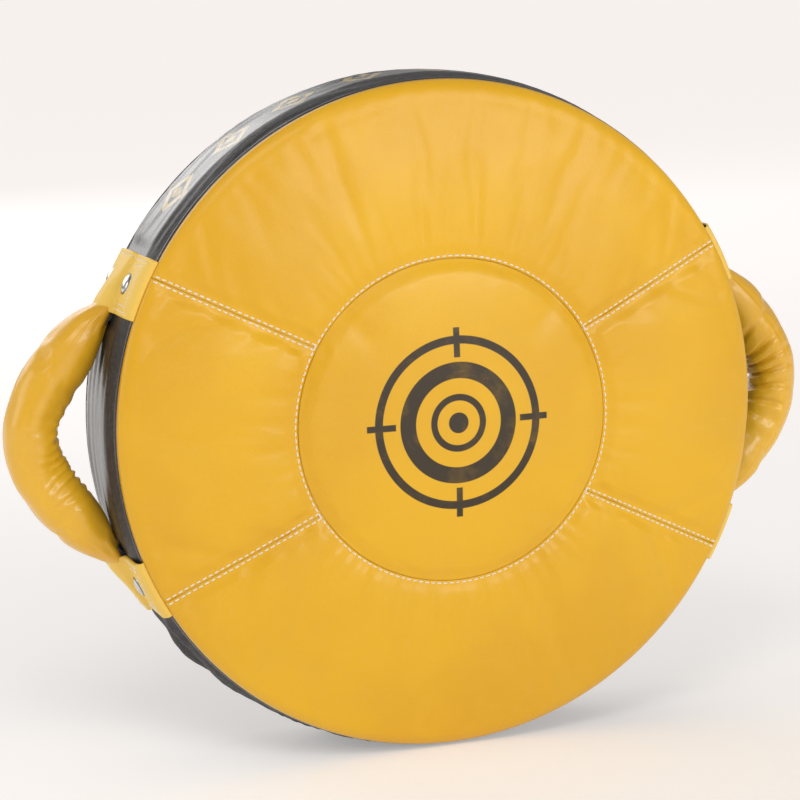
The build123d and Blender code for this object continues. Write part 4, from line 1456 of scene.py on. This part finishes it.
def woven_finish(name, colour, shade, threads):
    finish, tree, surface, place = new_finish(name, Sheen_Weight=0.3)
    weave = use(tree, WEAVE, Vector=place, Threads=threads)
    drift, _ = drifted(tree, place, colour, shade, 25.0, 0.05)
    # The threads that lie underneath are darkened with painted shade
    colour_it(tree, surface, mixed(tree, weave.outputs["Mask"], darker(colour, 0.45), drift))
    roughness(tree, surface, weave.outputs["Mask"], 0.85, 0.68)
    bump(tree, surface, weave.outputs["Height"], 0.6, 0.0005)
    return finish


def floor_finish():
    finish, tree, surface, place = new_finish("pale_floor", Specular_IOR_Level=0.1)
    reach = put(tree, "ShaderNodeVectorMath", {0: place}, operation="LENGTH").outputs["Value"]
    far = ramp(tree, reach, 0.3, 4.0)
    colour_it(tree, surface, mixed(tree, far, (0.78, 0.765, 0.755, 1.0), (0.82, 0.79, 0.775, 1.0)))
    # The floor's glow is painted light; it and the floor's colour grow brighter far from the middle
    glow = mixed(tree, far, (0.30, 0.292, 0.286, 1.0), (0.60, 0.565, 0.548, 1.0))
    tree.links.new(glow, surface.inputs["Emission Color"])
    surface.inputs["Emission Strength"].default_value = 1.0
    surface.inputs["Roughness"].default_value = 0.85
    return finish


# ---- putting it together --------------------------------------------------------------------

def dress(piece, finish):
    piece.data.materials.clear()
    piece.data.materials.append(finish)


def dress_node(node, finish):
    """Gives a carried-over CAD node its finish through the slots of its own object."""
    carried_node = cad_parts[node]
    if not carried_node.material_slots:
        carried_node.data.materials.append(finish)
    for slot in carried_node.material_slots:
        slot.link = "OBJECT"
        slot.material = finish


def attach(piece, nodes=(), finish=None):
    """Gives a piece its finish, its body, and the CAD nodes that it stands for."""
    if finish is not None:
        dress(piece, finish)
    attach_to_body(piece, "shield")
    if nodes:
        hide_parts(*nodes)
    return piece


def sew(name, rows, tree, shape, thread, seed, pitch=STITCH_PITCH):
    """Sews rows with one stitch shape and keeps them as one piece."""
    rows = [row for row in rows if len(row) > 1]
    source = line_source(name + "_lines", rows)
    piece = grown(name, source, tree, {
        "Pitch": pitch * MM, "Shape": shape, "Unevenness": 0.06, "Seed": seed, "Finish": thread})
    return attach(piece)


def make_face(swelling):
    yellow, target = yellow_leather(), target_leather()
    panels = {}
    for name in PANELS:
        swell = None if swelling is None else swelling[name]
        piece = face_panel(name, swell)
        finish = target if name == "centre" else yellow
        panels[name] = attach(piece, [f"face_{name}_panel"], finish)
    return panels


def make_piping(tree):
    vinyl = piping_vinyl()
    for edge in ("front", "rear"):
        name = edge + "_piping"
        low, high = node_box(name)
        source = linked(name + "_source", bpy.data.meshes.new(name + "_source"))
        piece = grown(name + "_cord", source, tree, {
            "Ring Radius": PIPE_RING[edge] * MM,
            "Cord Radius": PIPE_RADIUS[edge] * MM,
            "Unevenness": 0.35 * MM,
            "Bumps": 45.0,
            "Centre": (0.0, (low[1] + high[1]) / 2 * MM, AXIS_Z * MM),
            "Turn": (math.pi / 2, 0.0, 0.0),
            "Finish": vinyl,
        })
        attach(piece, [name])


def make_wall():
    leather = wall_leather()
    walls = {}
    gap = 0.04
    for name, (start, end) in WALL_STRIPS.items():
        piece = wall_strip("wall_" + name, start + gap, end - gap)
        walls[name] = attach(piece, ["gusset_" + name], leather)
    return walls


def make_bands():
    leather = band_leather()
    bands = {}
    for corner, (side, level) in CORNERS.items():
        node = corner + "_band"
        bands[corner] = attach(band(node + "_leather", side, level), [node], leather)
    return bands


def make_rivets(tree):
    places = []
    for side, level in CORNERS.values():
        angle = float(wall_angle(side, level, RIVET_ANGLE))
        out = np.array((math.cos(math.radians(angle)), 0, math.sin(math.radians(angle))))
        for offset in (-RIVET_OFFSET, RIVET_OFFSET):
            x, height = polar(WALL_RADIUS + BAND_THICK - 0.1, angle)
            places.append((Vector((x, GRIP_Y + offset, height + AXIS_Z)) * MM, Vector(out)))
    source = line_source("rivet_places", [[place] for place in places])
    shape = rivet_shape()
    piece = grown("rivet_domes", source, tree, {
        "Shape": shape, "Finish": metal_finish("rivet_chrome", (0.74, 0.73, 0.71, 1.0), 0.14, 0.38)})
    bpy.data.objects.remove(shape)
    attach(piece, ["rivet_caps"])


def grip_stuffing(name, side):
    """The foam roll inside a grip's leather."""
    along = np.linspace(0, 1, 90)
    turn = np.arange(32) * 2 * np.pi / 32
    end = np.minimum(along, 1 - along)
    thinner = -(1.2 + 4.2 * ease(end, 0.0, 0.12))[:, None]
    points = tube_points(grip_rings(along, turn, thinner, bed=1.4))
    points = pressed(points, side)
    return new_piece(name, points, tube_faces(90, 32))


def make_grips(swelling):
    leather = grip_leather()
    foam = foam_finish("grip_foam_cells", (0.80, 0.76, 0.66, 1.0), (0.74, 0.69, 0.58, 1.0), 650.0)
    for side_name, side in SIDES.items():
        swell = None if swelling is None else swelling[side_name]
        piece = grip(f"{side_name}_grip", side, swell)
        attach(piece, [f"{side_name}_grip_sleeve"], leather)
        stuffing = grip_stuffing(f"{side_name}_grip_stuffing", side)
        attach(stuffing, [f"{side_name}_grip_core"], foam)


def make_back():
    leather = black_leather()
    panels = {}
    for name, level in LEVELS.items():
        node = "back_panel_" + name
        piece = back_panel(node + "_leather", level)
        panels[name] = attach(piece, [node], leather)
    straps = {}
    for side_name, side in SIDES.items():
        node = side_name + "_arm_strap"
        piece = arm_strap(node + "_pad", side)
        straps[side] = attach(piece, [node], leather)
    yellow = band_leather()
    patches = {}
    for corner, (_, level) in CORNERS.items():
        node = corner + "_strap_patch"
        patches[node] = attach(strap_patch(node, level), [node], yellow)
    return panels, straps, patches


def make_stitches(panels, bands, walls, back, straps, patches, tree):
    white = thread_finish("white_thread", (0.93, 0.90, 0.82, 1.0), (0.74, 0.69, 0.58, 1.0))
    black = thread_finish("black_thread", (0.045, 0.044, 0.045, 1.0), (0.016, 0.016, 0.017, 1.0))
    shape = stitch_shape("stitch_shape", STITCH_LENGTH, STITCH_THICK)
    small = stitch_shape("small_stitch_shape", 2.1, 0.75)
    sew("face_stitches", face_rows(panels), tree, shape, white, 1)
    on_bands, on_patches, on_back, on_walls = [], [], [], []
    for corner, piece in bands.items():
        on_bands += band_rows(piece, *CORNERS[corner])
    sew("band_stitches", on_bands, tree, small, white, 2, pitch=3.1)
    for name, piece in patches.items():
        on_patches += patch_rows(piece, name)
    sew("patch_stitches", on_patches, tree, small, white, 3, pitch=3.2)
    for side, piece in straps.items():
        on_back += strap_rows(piece, side)
    on_back += zip_rows(back)
    sew("back_stitches", on_back, tree, small, black, 4, pitch=3.4)
    for name, (start, end) in WALL_STRIPS.items():
        on_walls.append(edge_rows(walls[name], start + 1, end - 1, WALL_REAR - 3.4))
    sew("wall_stitches", on_walls, tree, small, black, 5, pitch=3.6)
    bpy.data.objects.remove(shape)
    bpy.data.objects.remove(small)


def finish_hidden_nodes():
    """Finishes of the CAD nodes that stay: foam, webbing, washers, zip tape, slider and pull."""
    soft = foam_finish("soft_foam_cells", (0.80, 0.76, 0.66, 1.0), (0.74, 0.69, 0.58, 1.0), 650.0)
    dense = foam_finish("dense_foam_cells", (0.20, 0.20, 0.21, 1.0), (0.15, 0.15, 0.16, 1.0), 900.0)
    core = foam_finish("core_foam_cells", (0.46, 0.50, 0.56, 1.0), (0.40, 0.44, 0.50, 1.0), 500.0)
    for layer, foam in (("strike", soft), ("shock", dense), ("core", core), ("rear", soft)):
        dress_node(layer + "_foam", foam)
    webbing = woven_finish("black_webbing", (0.030, 0.030, 0.032, 1.0), (0.045, 0.044, 0.046, 1.0),
                           (3200.0, 3200.0, 3200.0))
    for side_name in SIDES:
        dress_node(side_name + "_grip_webbing", webbing)
    tape = woven_finish("zip_tape_weave", (0.028, 0.028, 0.030, 1.0), (0.040, 0.040, 0.042, 1.0),
                        (5200.0, 4000.0, 5200.0))
    dress_node("zip_tape_upper", tape)
    dress_node("zip_tape_lower", tape)
    nickel = metal_finish("zip_nickel", (0.60, 0.585, 0.56, 1.0), 0.20, 0.45)
    for node in ("zip_stops", "zip_slider", "zip_pull"):
        dress_node(node, nickel)
    dress_node("rivet_burrs", metal_finish("burr_steel", (0.55, 0.54, 0.53, 1.0), 0.30, 0.55))


def make_zip(tree):
    nylon = nylon_finish()
    for name, level in LEVELS.items():
        node = "zip_teeth_" + name
        attach(zip_teeth(node, level, tree, nylon), [node])


# ---- room, lights and camera ----------------------------------------------------------------

CAMERA_ANGLES = (-19.33, 9.47, -1.46)               # degrees round, up, and rolled
CAMERA_PLACE = Vector((-0.6003, -1.6625, 0.3005))   # metres from the middle of the disc
FOCAL_LENGTH = 117.1
LAMPS = {   # place and size in metres, watts, colour
    "key_lamp": ((-1.1, -2.0, 2.6), (1.3, 1.0), 21.0, (1.0, 0.985, 0.96)),
    "front_softbox": ((1.1, -2.85, 1.15), (2.0, 0.9), 36.0, (1.0, 0.99, 0.97)),
    "left_lamp": ((-3.0, 0.2, 1.2), (1.2, 1.8), 18.0, (1.0, 0.99, 0.98)),
    "rear_softbox": ((-1.2, 3.2, 1.9), (3.6, 2.2), 42.0, (1.0, 0.99, 0.98)),
}
LAMP_AIM = Vector((0.0, 0.0, 0.22))


def make_camera():
    """The camera stands in front, a little to the left and above, with a slight roll."""
    azimuth, elevation, roll = (math.radians(angle) for angle in CAMERA_ANGLES)
    back = Vector((math.sin(azimuth) * math.cos(elevation), -math.cos(azimuth) * math.cos(elevation),
                   math.sin(elevation)))
    right = (-back).cross(Vector((0, 0, 1))).normalized()
    up = right.cross(-back)
    turned_right = right * math.cos(roll) + up * math.sin(roll)
    turned_up = up * math.cos(roll) - right * math.sin(roll)
    lens = bpy.data.cameras.new("camera")
    lens.sensor_width = 36.0
    lens.lens = FOCAL_LENGTH
    lens.clip_end = 200.0
    camera = linked("camera", lens)
    middle = Vector((0.0, FRONT_Y + 41.5, AXIS_Z)) * MM
    turned = Matrix((turned_right, turned_up, back)).transposed().to_4x4()
    camera.matrix_world = Matrix.Translation(middle + CAMERA_PLACE) @ turned
    bpy.context.scene.camera = camera


def make_lamp(name, place, size, power, colour):
    lamp = bpy.data.lights.new(name, "AREA")
    lamp.shape = "RECTANGLE"
    lamp.size, lamp.size_y = size
    lamp.energy = power
    lamp.color = colour
    stand = linked(name, lamp)
    stand.location = place
    stand.rotation_mode = "QUATERNION"
    stand.visible_camera = False
    stand.rotation_quaternion = (LAMP_AIM - Vector(place)).to_track_quat("-Z", "Y")


def make_room():
    points = [(0, 0, 0)] + [(60 * math.cos(a), 60 * math.sin(a), 0) for a in np.arange(96) * math.pi / 48]
    faces = [(0, i + 1, (i + 1) % 96 + 1) for i in range(96)]
    data = bpy.data.meshes.new("floor")
    data.from_pydata(points, [], faces)
    floor = linked("floor", data)
    dress(floor, floor_finish())
    world = bpy.data.worlds.new("pale_room")
    bpy.context.scene.world = world
    world.use_nodes = True
    light = world.node_tree.nodes["Background"]
    light.inputs["Color"].default_value = (1.0, 0.985, 0.975, 1.0)
    light.inputs["Strength"].default_value = 0.40
    for name, (place, size, power, colour) in LAMPS.items():
        make_lamp(name, place, size, power, colour)
    bpy.context.scene.view_settings.view_transform = "Standard"
    bpy.context.scene.view_settings.look = "None"


def main():
    make_camera()
    make_room()
    face_swell, grip_swell = None, None
    face_swell = face_swelling()
    blanks = {name: grip_blank(name) for name in SIDES}
    grip_swell = {name: grip_swelling(moved) for name, moved in blow_up(blanks).items()}
    rows, points, cord = row_tree(), point_tree(), cord_tree()
    panels = make_face(face_swell)
    make_piping(cord)
    walls = make_wall()
    bands = make_bands()
    make_rivets(points)
    make_grips(grip_swell)
    back, straps, patches = make_back()
    bpy.context.view_layer.update()
    make_stitches(panels, bands, walls, back, straps, patches, rows)
    make_zip(rows)
    finish_hidden_nodes()


main()
